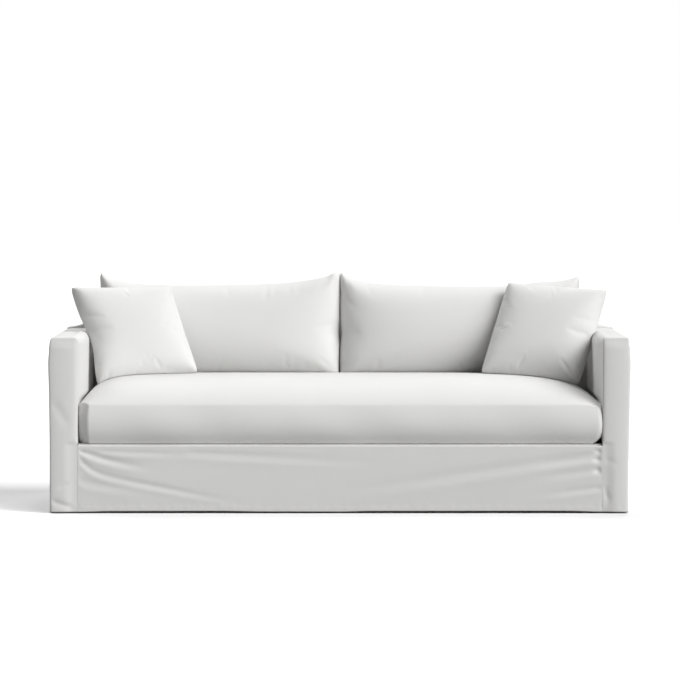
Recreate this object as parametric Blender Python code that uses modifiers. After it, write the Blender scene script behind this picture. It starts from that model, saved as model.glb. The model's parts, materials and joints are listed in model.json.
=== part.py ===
"""Loose covers of a track-arm sofa, in the shape they take when they are fitted.

The body cover is a hollow of sewn panels that is open at the bottom: the sofa inside it is left
out. On it stand one boxed seat cushion, two knife-edge back cushions and two throw pillows.
Metres, +Z up, the front faces -Y, x = 0 is the middle of the sofa and z = 0 is the lowest hem.
"""

import math
from collections import namedtuple

import bmesh
import bpy
from mathutils import Vector

OBJECT_NAME = "sofa_slipcover"

# ---- driving dimensions -------------------------------------------------------------------------
WIDTH = 2.160  # over the outer seams of both arms
DEPTH = 0.960  # front panel to rear panel
ARM_HEIGHT = 0.6555
ARM_WIDTH = 0.0964
DECK_HEIGHT = 0.256
RAIL_HEIGHT = 0.700  # top of the back rail
RAIL_THICKNESS = 0.120
SHOULDER_RUN = 0.160  # how far in from the side the rail's top slopes
SHOULDER_DROP = 0.040

CLOTH = 0.002  # thickness of the cotton canvas
SEAM_GAP = 0.0003  # between two panels that are sewn together
SEAM_STRIP = 0.008  # band beside a seam that the folds leave flat

ARM_CORNER_FRONT = 0.010  # radius of the inner top corner at the front seam
ARM_CORNER_BEHIND = 0.030
ARM_CORNER_RUN = 0.080  # length over which the corner softens
ARM_PADDING = 0.015  # how far the inside of the arm swells between its front and the rail
PADDING_RUN = 0.240  # length over which it swells behind the front
PADDING_FADE = 0.160  # length over which it flattens before the rail
PADDING_FOOT = 0.405  # the padding starts above the seat's side
PADDING_RISE = 0.030
APRON_CORNER = 0.012  # radius over the deck's front edge
APRON_FLAP = 0.018
RAIL_CORNER = 0.015

SEAT_LEFT = -0.979
SEAT_RIGHT = 0.979
SEAT_FRONT = -0.472
SEAT_REAR = 0.330
SEAT_SEAM_HEIGHT = 0.4036  # upper seam of the boxing
SEAT_CROWN = 0.097
SEAT_SOFTNESS = {"left": 0.058, "right": 0.100, "front": 0.090, "rear": 0.080}
BOXING_BULGE = 0.004
BOXING_TUCK = {"left": 0.012, "right": 0.036, "front": 0.024, "rear": 0.012}
SLANT_RUN = 0.090  # the left front corner is cut back over this length
SLANT_INSET = 0.036
SLANT_REACH = 0.060  # and this far into the cushion
SEAT_CELLS = (10, 8, 2)

# ---- derived places -----------------------------------------------------------------------------
FRONT_Y = -DEPTH / 2
REAR_Y = DEPTH / 2
OUTER_X = WIDTH / 2
INNER_X = OUTER_X - ARM_WIDTH
RAIL_FACE_Y = REAR_Y - RAIL_THICKNESS
BEHIND_FRONT_Y = FRONT_Y + CLOTH + SEAM_GAP
BEFORE_REAR_Y = REAR_Y - CLOTH - SEAM_GAP
PANEL_FOOT = DECK_HEIGHT - CLOTH  # lower edge of the panels that end at the deck

# ---- tables -------------------------------------------------------------------------------------
# How far the arm's outer cloth stands out of the seam's plane, from the floor up.
ArmSwell = namedtuple("ArmSwell", "height left right")
ARM_SWELLS = (
    ArmSwell(0.000, 0.009, 0.000),
    ArmSwell(0.090, 0.010, 0.000),
    ArmSwell(0.260, 0.010, 0.003),
    ArmSwell(0.420, 0.012, 0.006),
    ArmSwell(0.560, 0.015, 0.010),
    ArmSwell(0.630, 0.009, 0.005),
    ArmSwell(ARM_HEIGHT, 0.000, 0.000),
)
SEAM_SHARE = 0.8  # share of a swell that the front and rear seams take
SWELL_RUN = 0.060  # distance behind the seam at which the swell is full

# How far the hem is off the floor along the front.
HemRise = namedtuple("HemRise", "x rise")
HEM_RISES = (
    HemRise(-OUTER_X, 0.0015),
    HemRise(-INNER_X, 0.0025),
    HemRise(-0.850, 0.0055),
    HemRise(-0.450, 0.0060),
    HemRise(-0.280, 0.0040),
    HemRise(0.000, 0.0035),
    HemRise(0.120, 0.0055),
    HemRise(0.850, 0.0060),
    HemRise(INNER_X, 0.0030),
    HemRise(OUTER_X, 0.0020),
)
SIDE_HEM_RISE = 0.004

# Pull folds of the apron. Each runs from an arm's seam: at a distance d from it, its valley is at
# height - drop * (1 - exp(-d / drop_run)) - slope * d, it lives between begins and ends, and its
# width eases to far_width away from the seam.
Fold = namedtuple("Fold", "side height drop drop_run slope begins ends width far_width depth")
APRON_FOLDS = (
    Fold("left", 0.238, 0.098, 0.190, 0.000, 0.000, 0.380, 0.0140, 0.0160, 0.0070),
    Fold("left", 0.232, 0.073, 0.034, 0.205, 0.000, 0.680, 0.0170, 0.0110, 0.0064),
    Fold("left", 0.244, 0.030, 0.200, 0.000, 0.080, 0.480, 0.0120, 0.0140, 0.0028),
    Fold("left", 0.244, 0.000, 0.100, 0.056, 0.420, 1.300, 0.0150, 0.0170, 0.0024),
    Fold("left", 0.120, 0.020, 0.080, 0.060, 0.000, 0.300, 0.0150, 0.0200, 0.0018),
    Fold("right", 0.222, 0.000, 0.100, 0.150, 0.000, 1.150, 0.0130, 0.0220, 0.0044),
    Fold("right", 0.204, 0.000, 0.100, 0.105, 0.000, 0.300, 0.0120, 0.0160, 0.0020),
    Fold("right", 0.160, 0.000, 0.100, 0.120, 0.000, 0.300, 0.0120, 0.0180, 0.0020),
    Fold("right", 0.094, 0.000, 0.100, 0.125, 0.000, 0.280, 0.0120, 0.0170, 0.0030),
)
FOLD_WIDTH_RUN = 0.150
FOLD_RAMP = 0.030
FOLD_RIDGE = 0.6  # height of the roll below a valley, as a share of the valley's depth
FOLD_ROLL = 1.7  # distance from the valley to the roll, in fold widths

# Creases that slant across a panel, from one end to the other, both in the panel's own plane.
Crease = namedtuple("Crease", "panel from_across from_height to_across to_height width depth")
CREASES = (
    Crease("arm_front_left", -1.075, 0.040, -0.990, 0.012, 0.012, 0.0030),
    Crease("arm_front_left", -1.060, 0.385, -1.010, 0.315, 0.018, 0.0015),
    Crease("arm_front_right", 0.990, 0.085, 1.010, 0.035, 0.012, 0.0025),
    Crease("arm_outside_left", -0.180, 0.000, -0.080, 0.460, 0.050, 0.0045),
    Crease("arm_outside_left", 0.200, 0.000, 0.170, 0.380, 0.060, 0.0050),
    Crease("arm_outside_right", -0.120, 0.000, -0.190, 0.400, 0.055, 0.0045),
    Crease("arm_outside_right", 0.230, 0.000, 0.180, 0.460, 0.060, 0.0050),
    Crease("outside_back", -0.620, 0.000, -0.560, 0.420, 0.090, 0.0055),
    Crease("outside_back", -0.090, 0.000, -0.130, 0.520, 0.100, 0.0050),
    Crease("outside_back", 0.520, 0.000, 0.600, 0.460, 0.090, 0.0055),
)

# Knife-edge cushions, each by the four corners of its seam. swell_front and swell_back are the
# greatest heights of its two sides over the seam's plane, and sag is how far its top sinks
# between its ears, which reach in by a share of half the width.
Knife = namedtuple(
    "Knife",
    "name bottom_left bottom_right top_right top_left swell_front swell_back "
    "sag ear_left ear_right cells",
)
KNIFE_CUSHIONS = (
    Knife(
        "back_cushion_left",
        (-0.942, 0.212, 0.472), (0.003, 0.212, 0.472), (0.002, 0.262, 0.880), (-0.946, 0.262, 0.882),
        0.132, 0.160, 0.052, 0.100, 0.280, (8, 6),
    ),
    Knife(
        "back_cushion_right",
        (-0.003, 0.212, 0.472), (0.942, 0.212, 0.472), (0.944, 0.262, 0.870), (-0.002, 0.262, 0.884),
        0.132, 0.160, 0.050, 0.070, 0.250, (8, 6),
    ),
    Knife(
        "throw_pillow_left",
        (-0.930, -0.098, 0.462), (-0.548, -0.016, 0.505), (-0.660, 0.177, 0.822), (-1.044, 0.087, 0.824),
        0.080, 0.056, 0.006, 0.300, 0.300, (6, 6),
    ),
    Knife(
        "throw_pillow_right",
        (0.543, -0.020, 0.494), (0.908, -0.126, 0.458), (1.034, 0.056, 0.820), (0.656, 0.184, 0.840),
        0.080, 0.056, 0.006, 0.300, 0.300, (6, 6),
    ),
)

# How far a side of a cushion is drawn in from a straight line: most at its centre (-1 is the
# bottom of the side, 1 its top), less away from it.
Draw = namedtuple("Draw", "cushion side centre reach inwards")
DRAWS = (
    Draw("back_cushion_left", "right", -0.22, 0.30, 0.007),
    Draw("back_cushion_left", "left", 0.00, 0.60, 0.010),
    Draw("back_cushion_right", "left", -0.24, 0.30, 0.007),
    Draw("back_cushion_right", "right", 0.00, 0.60, 0.010),
    Draw("throw_pillow_left", "left", -0.15, 0.48, 0.020),
    Draw("throw_pillow_left", "right", 0.10, 0.60, 0.004),
    Draw("throw_pillow_right", "right", 0.00, 0.60, 0.004),
    Draw("throw_pillow_right", "left", 0.00, 0.60, 0.002),
)
DRAW_FADE_POWER = 8  # the draws fade out towards both ends of the side
CONTACT_X = 0.0  # plane where the two back cushions press together
KNIFE_RIM = 0.004  # half the thickness of a cushion at its seam
KNIFE_FULLNESS = 0.62
REST_SINK = {"back": 0.0046, "throw": 0.0018}  # a cage rests deeper than its smoothed skin

LINEN = (0.86, 0.855, 0.84, 1.0)


# ---- scene and materials ------------------------------------------------------------------------
def clear_scene():
    for item in list(bpy.data.objects):
        bpy.data.objects.remove(item, do_unlink=True)


def cotton(name):
    material = bpy.data.materials.new(name)
    material.use_nodes = True
    shader = material.node_tree.nodes["Principled BSDF"]
    shader.inputs["Base Color"].default_value = LINEN
    shader.inputs["Roughness"].default_value = 0.9
    shader.inputs["Metallic"].default_value = 0.0
    return material


def add_object(name, bm, root, collection):
    mesh = bpy.data.meshes.new(name)
    bm.to_mesh(mesh)
    bm.free()
    mesh.shade_smooth()
    mesh.materials.append(cotton(name))
    item = bpy.data.objects.new(name, mesh)
    collection.objects.link(item)
    item.parent = root
    return item


# ---- small helpers ------------------------------------------------------------------------------
def smooth(low, high, value):
    """0 below low, 1 above high, and an S-curve between them."""
    t = min(max((value - low) / (high - low), 0.0), 1.0)
    return t * t * (3.0 - 2.0 * t)


def lines(start, end, cells, strip=SEAM_STRIP):
    """Grid lines from start to end: a narrow strip at both ends and even cells between them."""
    inward = math.copysign(strip, end - start)
    first = start + inward
    step = (end - inward - first) / cells
    return [start] + [first + step * k for k in range(cells + 1)] + [end]


def read_table(rows, key, column, place):
    """Value of one column at a place, eased between the two rows around it."""
    before = rows[0]
    for row in rows[1:]:
        low, high = getattr(before, key), getattr(row, key)
        if place <= high:
            share = smooth(low, high, place)
            return getattr(before, column) * (1.0 - share) + getattr(row, column) * share
        before = row
    return getattr(before, column)


def crease_depth(panel, across, height):
    """How far the creases of a panel sink in at a place: soft valleys along straight lines."""
    depth = 0.0
    for crease in CREASES:
        if crease.panel != panel:
            continue
        start = Vector((crease.from_across, crease.from_height))
        run = Vector((crease.to_across, crease.to_height)) - start
        reach = Vector((across, height)) - start
        along = min(max(reach.dot(run) / run.length_squared, 0.0), 1.0)
        off = (reach - run * along).length
        taper = smooth(1.0, 0.5, along)
        depth += crease.depth * taper * math.exp(-((off / crease.width) ** 2))
    return depth


def swell(side, height):
    return read_table(ARM_SWELLS, "height", side, height)


def seam_swell(side, height):
    """The seams take a share of an outward swell, and all of an inward one."""
    out = swell(side, height)
    return out * SEAM_SHARE if out > 0.0 else out


def cloth_panel(name, columns, rows, place, root, collection, flip=False, cut_away=None):
    """A sheet: a grid whose lines are given in metres, moved by a formula, with the cloth's
    thickness added on its inner side."""
    bm = bmesh.new()
    across, up = len(columns) - 1, len(rows) - 1
    bmesh.ops.create_grid(bm, x_segments=across, y_segments=up, size=0.5)

    def line_numbers(point):
        return (point.x + 0.5) * across, (point.y + 0.5) * up

    if cut_away:
        spare = []
        for face in bm.faces:
            i, j = (int(number) for number in line_numbers(face.calc_center_median()))
            if cut_away(i, j):
                spare.append(face)
        bmesh.ops.delete(bm, geom=spare, context="FACES")
    for vert in bm.verts:
        i, j = (round(number) for number in line_numbers(vert.co))
        vert.co = place(columns[i], rows[j])
    if flip:
        bmesh.ops.reverse_faces(bm, faces=bm.faces[:])
    item = add_object(name, bm, root, collection)
    thick = item.modifiers.new("cloth", "SOLIDIFY")
    thick.thickness = CLOTH
    thick.offset = -1.0
    thick.use_even_offset = True
    thick.use_quality_normals = True
    return item


# ---- body cover ---------------------------------------------------------------------------------
def front_hem(x):
    return read_table(HEM_RISES, "x", "rise", x)


def swag(share):
    """Hem of the sides and the rear: it lifts a little, unevenly, between its corners."""
    return SIDE_HEM_RISE * math.sin(math.pi * share) * (1.0 + 0.3 * math.sin(5.0 * math.pi * share))


def arm_front(side, root, collection):
    """Flat strip up the front of the arm, with the arm's rounded inner top corner."""
    name = f"arm_front_{side}"
    sign = -1.0 if side == "left" else 1.0
    bend = INNER_X + ARM_CORNER_FRONT
    arc = [(math.pi / 6.0) * k for k in range(1, 4)]
    columns = lines(OUTER_X, bend, 3) + [bend - ARM_CORNER_FRONT * math.sin(a) for a in arc]
    rows = lines(0.0, 1.0, 16, SEAM_STRIP / ARM_HEIGHT)

    def place(across, share):
        into_corner = max(bend - across, 0.0)
        rounding = ARM_CORNER_FRONT - math.sqrt(max(ARM_CORNER_FRONT**2 - into_corner**2, 0.0))
        top = ARM_HEIGHT - rounding
        foot = front_hem(sign * across)
        z = foot + (top - foot) * share
        outward = (across - INNER_X) / ARM_WIDTH
        x = sign * (across + outward * seam_swell(side, z))
        edge = min(across - INNER_X, OUTER_X - across)
        fade = smooth(SEAM_STRIP, 2.0 * SEAM_STRIP, edge)
        return Vector((x, FRONT_Y + fade * crease_depth(name, x, z), z))

    return cloth_panel(name, columns, rows, place, root, collection, flip=side == "right")


def padding(y, z):
    """How far the arm's padding swells its inside: above the seat, between front and rail."""
    swelling = smooth(BEHIND_FRONT_Y, BEHIND_FRONT_Y + PADDING_RUN, y)
    swelling *= smooth(RAIL_FACE_Y, RAIL_FACE_Y - PADDING_FADE, y)
    return ARM_PADDING * swelling * smooth(PADDING_FOOT, PADDING_FOOT + PADDING_RISE, z)


def arm_inside(side, root, collection):
    """Arm top and inside of the arm in one length, round over the inner top corner."""
    name = f"arm_inside_{side}"
    sign = -1.0 if side == "left" else 1.0
    top_share = [0.0, 0.12, 0.5, 1.0]
    arc_share = [0.25, 0.5, 0.75, 1.0]
    face_share = [0.12, 0.35, 0.6, 0.85, 1.0]
    columns = [("top", s) for s in top_share]
    columns += [("arc", s) for s in arc_share]
    columns += [("face", s) for s in face_share]
    rows = lines(BEHIND_FRONT_Y, RAIL_FACE_Y - SEAM_GAP, 9)

    def place(column, y):
        part, share = column
        behind = smooth(BEHIND_FRONT_Y, BEHIND_FRONT_Y + ARM_CORNER_RUN, y)
        radius = ARM_CORNER_FRONT + (ARM_CORNER_BEHIND - ARM_CORNER_FRONT) * behind
        bend = INNER_X + radius
        turn = 0.0
        if part == "top":
            x = OUTER_X + (bend - OUTER_X) * share
            z = ARM_HEIGHT
        elif part == "arc":
            turn = math.sin(share * math.pi / 2.0)
            x = bend - radius * turn
            z = ARM_HEIGHT - radius * (1.0 - math.cos(share * math.pi / 2.0))
        else:
            turn = 1.0
            x = INNER_X
            z = ARM_HEIGHT - radius + (PANEL_FOOT - ARM_HEIGHT + radius) * share
        return Vector((sign * (x - turn * padding(y, z)), y, z))

    return cloth_panel(name, columns, rows, place, root, collection, flip=side == "right")


def rail_top(x):
    """Height of the back rail: level in the middle, sloping down at both shoulders."""
    return RAIL_HEIGHT - SHOULDER_DROP * smooth(OUTER_X - SHOULDER_RUN, OUTER_X, abs(x))


def arm_outside(side, root, collection):
    """Side of the sofa from the floor to the arm top, swelling out behind the front seam."""
    name = f"arm_outside_{side}"
    sign = -1.0 if side == "left" else 1.0
    step_y = RAIL_FACE_Y + CLOTH + SEAM_GAP
    columns = lines(BEHIND_FRONT_Y, BEHIND_FRONT_Y + SWELL_RUN, 2)
    columns += lines(columns[-1], step_y, 7, 0.04)[1:]
    columns += [step_y + SEAM_STRIP, BEFORE_REAR_Y - SEAM_STRIP, BEFORE_REAR_Y]
    rows = lines(0.0, 1.0, 8, SEAM_STRIP / ARM_HEIGHT)

    def place(y, share):
        lift = rail_top(OUTER_X) - ARM_HEIGHT if y > step_y + SEAM_STRIP / 2.0 else 0.0
        top = ARM_HEIGHT + lift - CLOTH - SEAM_GAP
        foot = swag((y - FRONT_Y) / DEPTH)
        z = foot + (top - foot) * share
        edge = min(y - BEHIND_FRONT_Y, BEFORE_REAR_Y - y)
        full = smooth(SEAM_STRIP, SWELL_RUN, edge)
        seam = seam_swell(side, z)
        out = seam + (swell(side, z) - seam) * full
        below_top = smooth(0.0, 0.05, top - z)
        out -= full * below_top * crease_depth(name, y, z)
        return Vector((sign * (OUTER_X + out), y, z))

    return cloth_panel(name, columns, rows, place, root, collection, flip=side == "left")


def fold_height(x, z):
    """Outward height of the apron at a place: each pull fold is a valley with a roll below it."""
    height = 0.0
    for fold in APRON_FOLDS:
        seam_x = -INNER_X if fold.side == "left" else INNER_X
        d = abs(x - seam_x)
        valley = fold.height - fold.drop * (1.0 - math.exp(-d / fold.drop_run)) - fold.slope * d
        near = math.exp(-d / FOLD_WIDTH_RUN)
        width = fold.far_width + (fold.width - fold.far_width) * near
        lives = smooth(fold.begins - FOLD_RAMP, fold.begins + FOLD_RAMP, d)
        lives *= smooth(fold.ends, (fold.begins + fold.ends) / 3.0, d)
        off = (z - valley) / width
        section = FOLD_RIDGE * math.exp(-((off + FOLD_ROLL) ** 2)) - math.exp(-(off**2))
        height += fold.depth * lives * section
    return height


def front_apron(root, collection):
    """Panel below the seat, from the hem up and round over the deck's front edge."""
    left, right = -INNER_X + SEAM_GAP, INNER_X - SEAM_GAP
    cells = 34
    columns = []
    for k in range(cells + 1):
        even = k / cells
        crowded = 0.5 - 0.5 * math.cos(math.pi * even)
        columns.append(left + (right - left) * (0.35 * even + 0.65 * crowded))
    columns = [left, left + SEAM_STRIP] + columns[1:-1] + [right - SEAM_STRIP, right]
    bend = DECK_HEIGHT - APRON_CORNER
    rows = [("face", k / 15.0) for k in range(16)]
    rows += [("arc", k / 3.0) for k in range(1, 4)]
    rows += [("flap", 1.0)]

    def place(x, row):
        part, share = row
        foot = front_hem(x)
        y = FRONT_Y
        z = DECK_HEIGHT
        if part == "face":
            z = foot + (bend - foot) * share
            edge = min(x - left, right - x)
            fade = smooth(SEAM_STRIP, 3.0 * SEAM_STRIP, edge) * smooth(0.0, 0.03, bend - z)
            y = FRONT_Y - fade * fold_height(x, z)
        elif part == "arc":
            angle = share * math.pi / 2.0
            y = FRONT_Y + APRON_CORNER * (1.0 - math.cos(angle))
            z = bend + APRON_CORNER * math.sin(angle)
        else:
            y = FRONT_Y + APRON_CORNER + APRON_FLAP
        return Vector((x, y, z))

    return cloth_panel("front_apron", columns, rows, place, root, collection)


def seat_deck(root, collection):
    """Flat panel on the seat platform, from the apron's flap to the inside back."""
    half = INNER_X - SEAM_GAP
    front = FRONT_Y + APRON_CORNER + APRON_FLAP + SEAM_GAP
    rear = RAIL_FACE_Y - SEAM_GAP

    def place(x, y):
        return Vector((x, y, DECK_HEIGHT))

    return cloth_panel("seat_deck", [-half, half], [front, rear], place, root, collection)


def inside_back(root, collection):
    """T-shaped panel: up between the arms, then over the whole width of the back rail."""
    stem = INNER_X - SEAM_GAP
    inner = [-stem + 2.0 * stem * k / 10.0 for k in range(11)]
    shoulder = [OUTER_X, OUTER_X - (OUTER_X - stem) / 2.0]
    columns = [-x for x in shoulder] + inner + shoulder[::-1]
    rows = [("stem", share) for share in (0.0, 0.5, 1.0)]
    rows += [("face", share) for share in (0.5, 1.0)]
    rows += [("arc", share) for share in (1.0 / 3.0, 2.0 / 3.0, 1.0)]
    rows += [("top", share) for share in (0.5, 1.0)]
    stem_rows = 2
    level = ARM_HEIGHT + SEAM_GAP

    def place(x, row):
        part, share = row
        crest = rail_top(x)
        radius = min(RAIL_CORNER, (crest - level) / 2.0)
        y = RAIL_FACE_Y
        z = crest
        if part == "stem":
            z = PANEL_FOOT + (level - PANEL_FOOT) * share
        elif part == "face":
            z = level + (crest - radius - level) * share
        elif part == "arc":
            angle = share * math.pi / 2.0
            y = RAIL_FACE_Y + radius * (1.0 - math.cos(angle))
            z = crest - radius + radius * math.sin(angle)
        else:
            y = RAIL_FACE_Y + radius + (BEFORE_REAR_Y - RAIL_FACE_Y - radius) * share
        return Vector((x, y, z))

    def beside_stem(i, j):
        return j < stem_rows and abs(columns[i] + columns[i + 1]) / 2.0 > stem

    return cloth_panel(
        "inside_back", columns, rows, place, root, collection, cut_away=beside_stem
    )


def outside_back(root, collection):
    """Rear of the sofa, floor to the top of the rail, over the edges of the side panels."""
    columns = lines(-OUTER_X, OUTER_X, 16, 0.03)
    rows = lines(0.0, 1.0, 8, SEAM_STRIP / RAIL_HEIGHT)

    def place(x, share):
        foot = swag((x + OUTER_X) / WIDTH)
        z = foot + (rail_top(x) - foot) * share
        side = "left" if x < 0.0 else "right"
        near_side = smooth(INNER_X, OUTER_X, abs(x))
        wide = x + math.copysign(near_side * seam_swell(side, z), x)
        edge = min(OUTER_X - abs(x), rail_top(x) - z)
        fade = smooth(0.03, 0.09, edge)
        return Vector((wide, REAR_Y - fade * crease_depth("outside_back", x, z), z))

    return cloth_panel("outside_back", columns, rows, place, root, collection, flip=True)


# ---- cushions -----------------------------------------------------------------------------------
def gridded_cube(cells):
    """A cube from -1 to 1, cut into cells along each axis."""
    bm = bmesh.new()
    bmesh.ops.create_cube(bm, size=2.0)
    for axis, count in enumerate(cells):
        if count < 2:
            continue
        along = [
            edge
            for edge in bm.edges
            if abs(edge.verts[0].co[axis] - edge.verts[1].co[axis]) > 0.5
        ]
        bmesh.ops.subdivide_edges(bm, edges=along, cuts=count - 1, use_grid_fill=True)
    return bm


def soften(item):
    subdivision = item.modifiers.new("soft", "SUBSURF")
    subdivision.levels = 1
    subdivision.render_levels = 1
    subdivision.use_limit_surface = False
    return item


def crowded(share):
    """Moves the lines of an even grid from -1 to 1 towards both of its ends."""
    return math.sin(share * math.pi / 2.0)


def seat_top(x, y):
    """Crowned top of the seat cushion: it rises from each seam and levels out."""
    rise = 1.0
    for name, distance in (
        ("left", x - SEAT_LEFT),
        ("right", SEAT_RIGHT - x),
        ("front", y - SEAT_FRONT),
        ("rear", SEAT_REAR - y),
    ):
        rise *= 1.0 - math.exp(-max(distance, 0.0) / SEAT_SOFTNESS[name])
    return SEAT_SEAM_HEIGHT + SEAT_CROWN * rise


def seat_sides(level):
    """Left, right, front and rear of the seat cushion at its base (-1), middle (0) or seam (1)."""
    tuck = BOXING_TUCK if level < 0 else dict.fromkeys(BOXING_TUCK, 0.0)
    bulge = BOXING_BULGE if level == 0 else 0.0
    return (
        SEAT_LEFT + tuck["left"] - bulge,
        SEAT_RIGHT - tuck["right"] + bulge,
        SEAT_FRONT + tuck["front"] - bulge,
        SEAT_REAR - tuck["rear"] + bulge,
    )


def corner_cut(x, y):
    """How far the left front corner is cut back: a slant along the side, less further in."""
    along = min(max((y - SEAT_FRONT) / SLANT_RUN, 0.0), 1.0)
    return SLANT_INSET * (1.0 - along) * math.exp(-max(x - SEAT_LEFT, 0.0) / SLANT_REACH)


def seat_cushion(root, collection):
    """Boxed cushion: flat base on the deck, boxing that tucks under, and a crowned top."""
    bm = gridded_cube(SEAT_CELLS)
    base = DECK_HEIGHT + SEAM_GAP
    heights = {-1: base, 0: (base + SEAT_SEAM_HEIGHT) / 2.0, 1: SEAT_SEAM_HEIGHT}
    for vert in bm.verts:
        level = round(vert.co.z)
        left, right, front, rear = seat_sides(level)
        x = left + (right - left) * (1.0 + crowded(vert.co.x)) / 2.0
        y = front + (rear - front) * (1.0 + crowded(vert.co.y)) / 2.0
        x += corner_cut(x, y)
        z = seat_top(x, y) if level > 0 else heights[level]
        vert.co = Vector((x, y, z))
    return soften(add_object("seat_cushion", bm, root, collection))


def ear(u, knife):
    """1 at both ends of a cushion's top and near 0 between them."""
    left = math.exp(-(1.0 + u) / knife.ear_left)
    right = math.exp(-(1.0 - u) / knife.ear_right)
    return min(left + right, 1.0)


def drawn(cushion, side, along):
    """How far one side is drawn in at a place along it: the sum of its draws."""
    total = 0.0
    for draw in DRAWS:
        if draw.cushion == cushion and draw.side == side:
            total += draw.inwards * math.exp(-(((along - draw.centre) / draw.reach) ** 2))
    return total * (1.0 - along**DRAW_FADE_POWER)


def rest(point, name):
    """Moves a point out of the seat, out of the rail and off the other back cushion."""
    if SEAT_FRONT < point.y < SEAT_REAR:
        sink = REST_SINK[name.split("_")[0]]
        point.z = max(point.z, seat_top(point.x, point.y) - sink)
    point.y = min(point.y, RAIL_FACE_Y - SEAM_GAP)
    if name == "back_cushion_left":
        point.x = min(point.x, CONTACT_X - SEAM_GAP)
    if name == "back_cushion_right":
        point.x = max(point.x, CONTACT_X + SEAM_GAP)
    return point


def knife_cushion(knife, root, collection):
    """Two crowned sides that meet at one seam, whose corners stand out as ears."""
    bm = gridded_cube((knife.cells[0], 1, knife.cells[1]))
    corners = [
        Vector(knife.bottom_left),
        Vector(knife.bottom_right),
        Vector(knife.top_right),
        Vector(knife.top_left),
    ]
    bottom_left, bottom_right, top_right, top_left = corners
    wide = (bottom_right + top_right - bottom_left - top_left) / 2.0
    tall = (top_left + top_right - bottom_left - bottom_right) / 2.0
    back = tall.cross(wide).normalized()
    if back.y < 0.0:
        back.negate()
    for vert in bm.verts:
        u, behind, v = crowded(vert.co.x), vert.co.y, crowded(vert.co.z)
        from_left = drawn(knife.name, "left", v) * (1.0 - u) / 2.0
        from_right = drawn(knife.name, "right", v) * (1.0 + u) / 2.0
        sunk = knife.sag * (1.0 - ear(u, knife)) * (1.0 + v) / 2.0
        s = (1.0 + u) / 2.0 + (from_left - from_right) / wide.length
        t = (1.0 + v) / 2.0 - sunk / tall.length
        low = bottom_left.lerp(bottom_right, s)
        high = top_left.lerp(top_right, s)
        swollen = knife.swell_front if behind < 0.0 else knife.swell_back
        thick = KNIFE_RIM + swollen * ((1.0 - u * u) * (1.0 - v * v)) ** KNIFE_FULLNESS
        vert.co = rest(low.lerp(high, t) + back * thick * behind, knife.name)
    return soften(add_object(knife.name, bm, root, collection))


# ---- assembly -----------------------------------------------------------------------------------
def build():
    clear_scene()
    collection = bpy.data.collections.new(OBJECT_NAME)
    bpy.context.scene.collection.children.link(collection)
    root = bpy.data.objects.new(f"{OBJECT_NAME}_root", None)
    collection.objects.link(root)
    for side in ("left", "right"):
        arm_front(side, root, collection)
        arm_inside(side, root, collection)
        arm_outside(side, root, collection)
    front_apron(root, collection)
    seat_deck(root, collection)
    inside_back(root, collection)
    outside_back(root, collection)
    seat_cushion(root, collection)
    for knife in KNIFE_CUSHIONS:
        knife_cushion(knife, root, collection)


build()
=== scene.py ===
# %% [markdown]
# # A fitted sofa cover and its cushions
# The object is a full set of loose covers for a long sofa with track arms: a body cover of sewn
# canvas panels that reaches the floor, one boxed seat cushion, two back cushions and two throw
# pillows. The sofa inside it is left out, so the body cover is a hollow that is open at the bottom.
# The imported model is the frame: every piece below takes the place of one of its nodes.

# %% Load the frame
import json
import math
from collections import namedtuple
from functools import reduce

import bmesh
import bpy
import numpy as np
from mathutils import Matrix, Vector

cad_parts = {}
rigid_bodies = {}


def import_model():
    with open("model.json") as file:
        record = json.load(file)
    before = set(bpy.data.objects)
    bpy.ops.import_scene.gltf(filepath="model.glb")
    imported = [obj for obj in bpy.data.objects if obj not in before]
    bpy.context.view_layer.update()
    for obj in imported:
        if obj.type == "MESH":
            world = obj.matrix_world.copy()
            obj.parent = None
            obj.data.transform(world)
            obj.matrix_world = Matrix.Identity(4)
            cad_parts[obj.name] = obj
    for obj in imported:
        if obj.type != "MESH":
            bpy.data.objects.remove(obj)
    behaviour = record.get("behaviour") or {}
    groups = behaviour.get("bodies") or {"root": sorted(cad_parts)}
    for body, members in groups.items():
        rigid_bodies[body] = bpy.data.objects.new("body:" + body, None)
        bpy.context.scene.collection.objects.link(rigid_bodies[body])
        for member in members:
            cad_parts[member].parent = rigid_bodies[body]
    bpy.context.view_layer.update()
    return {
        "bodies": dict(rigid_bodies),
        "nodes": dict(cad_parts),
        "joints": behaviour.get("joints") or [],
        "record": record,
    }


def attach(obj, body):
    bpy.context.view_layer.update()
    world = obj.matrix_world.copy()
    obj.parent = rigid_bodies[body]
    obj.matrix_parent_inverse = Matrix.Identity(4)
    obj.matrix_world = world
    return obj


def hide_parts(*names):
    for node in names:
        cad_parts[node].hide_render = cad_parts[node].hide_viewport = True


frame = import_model()
print("nodes:", ", ".join(sorted(frame["nodes"])))

# %% [markdown]
# ## Sizes
# All sizes are metres, +Z is up, the front faces -Y, x = 0 is the middle of the sofa and z = 0 is
# the lowest hem. They are the sizes the solids were built with, because a cover only looks fitted
# when its panels meet. `SEAM_TURN` is the script's own: where two panels meet at a corner, both
# turn in on a small round of that radius and meet halfway round it, as sewn cloths do.

# %% Sizes of the body cover
WIDTH = 2.160
DEPTH = 0.960
ARM_HEIGHT = 0.6555
ARM_WIDTH = 0.0964
DECK_HEIGHT = 0.256
RAIL_HEIGHT = 0.700
RAIL_THICKNESS = 0.120
SHOULDER_RUN = 0.160
SHOULDER_DROP = 0.040
CLOTH = 0.002
SEAM_GAP = 0.0003
SEAM_TURN = 0.0050
SEAM_EDGE = SEAM_TURN * (1.0 - math.sqrt(0.5)) + SEAM_GAP / 2.0

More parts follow.
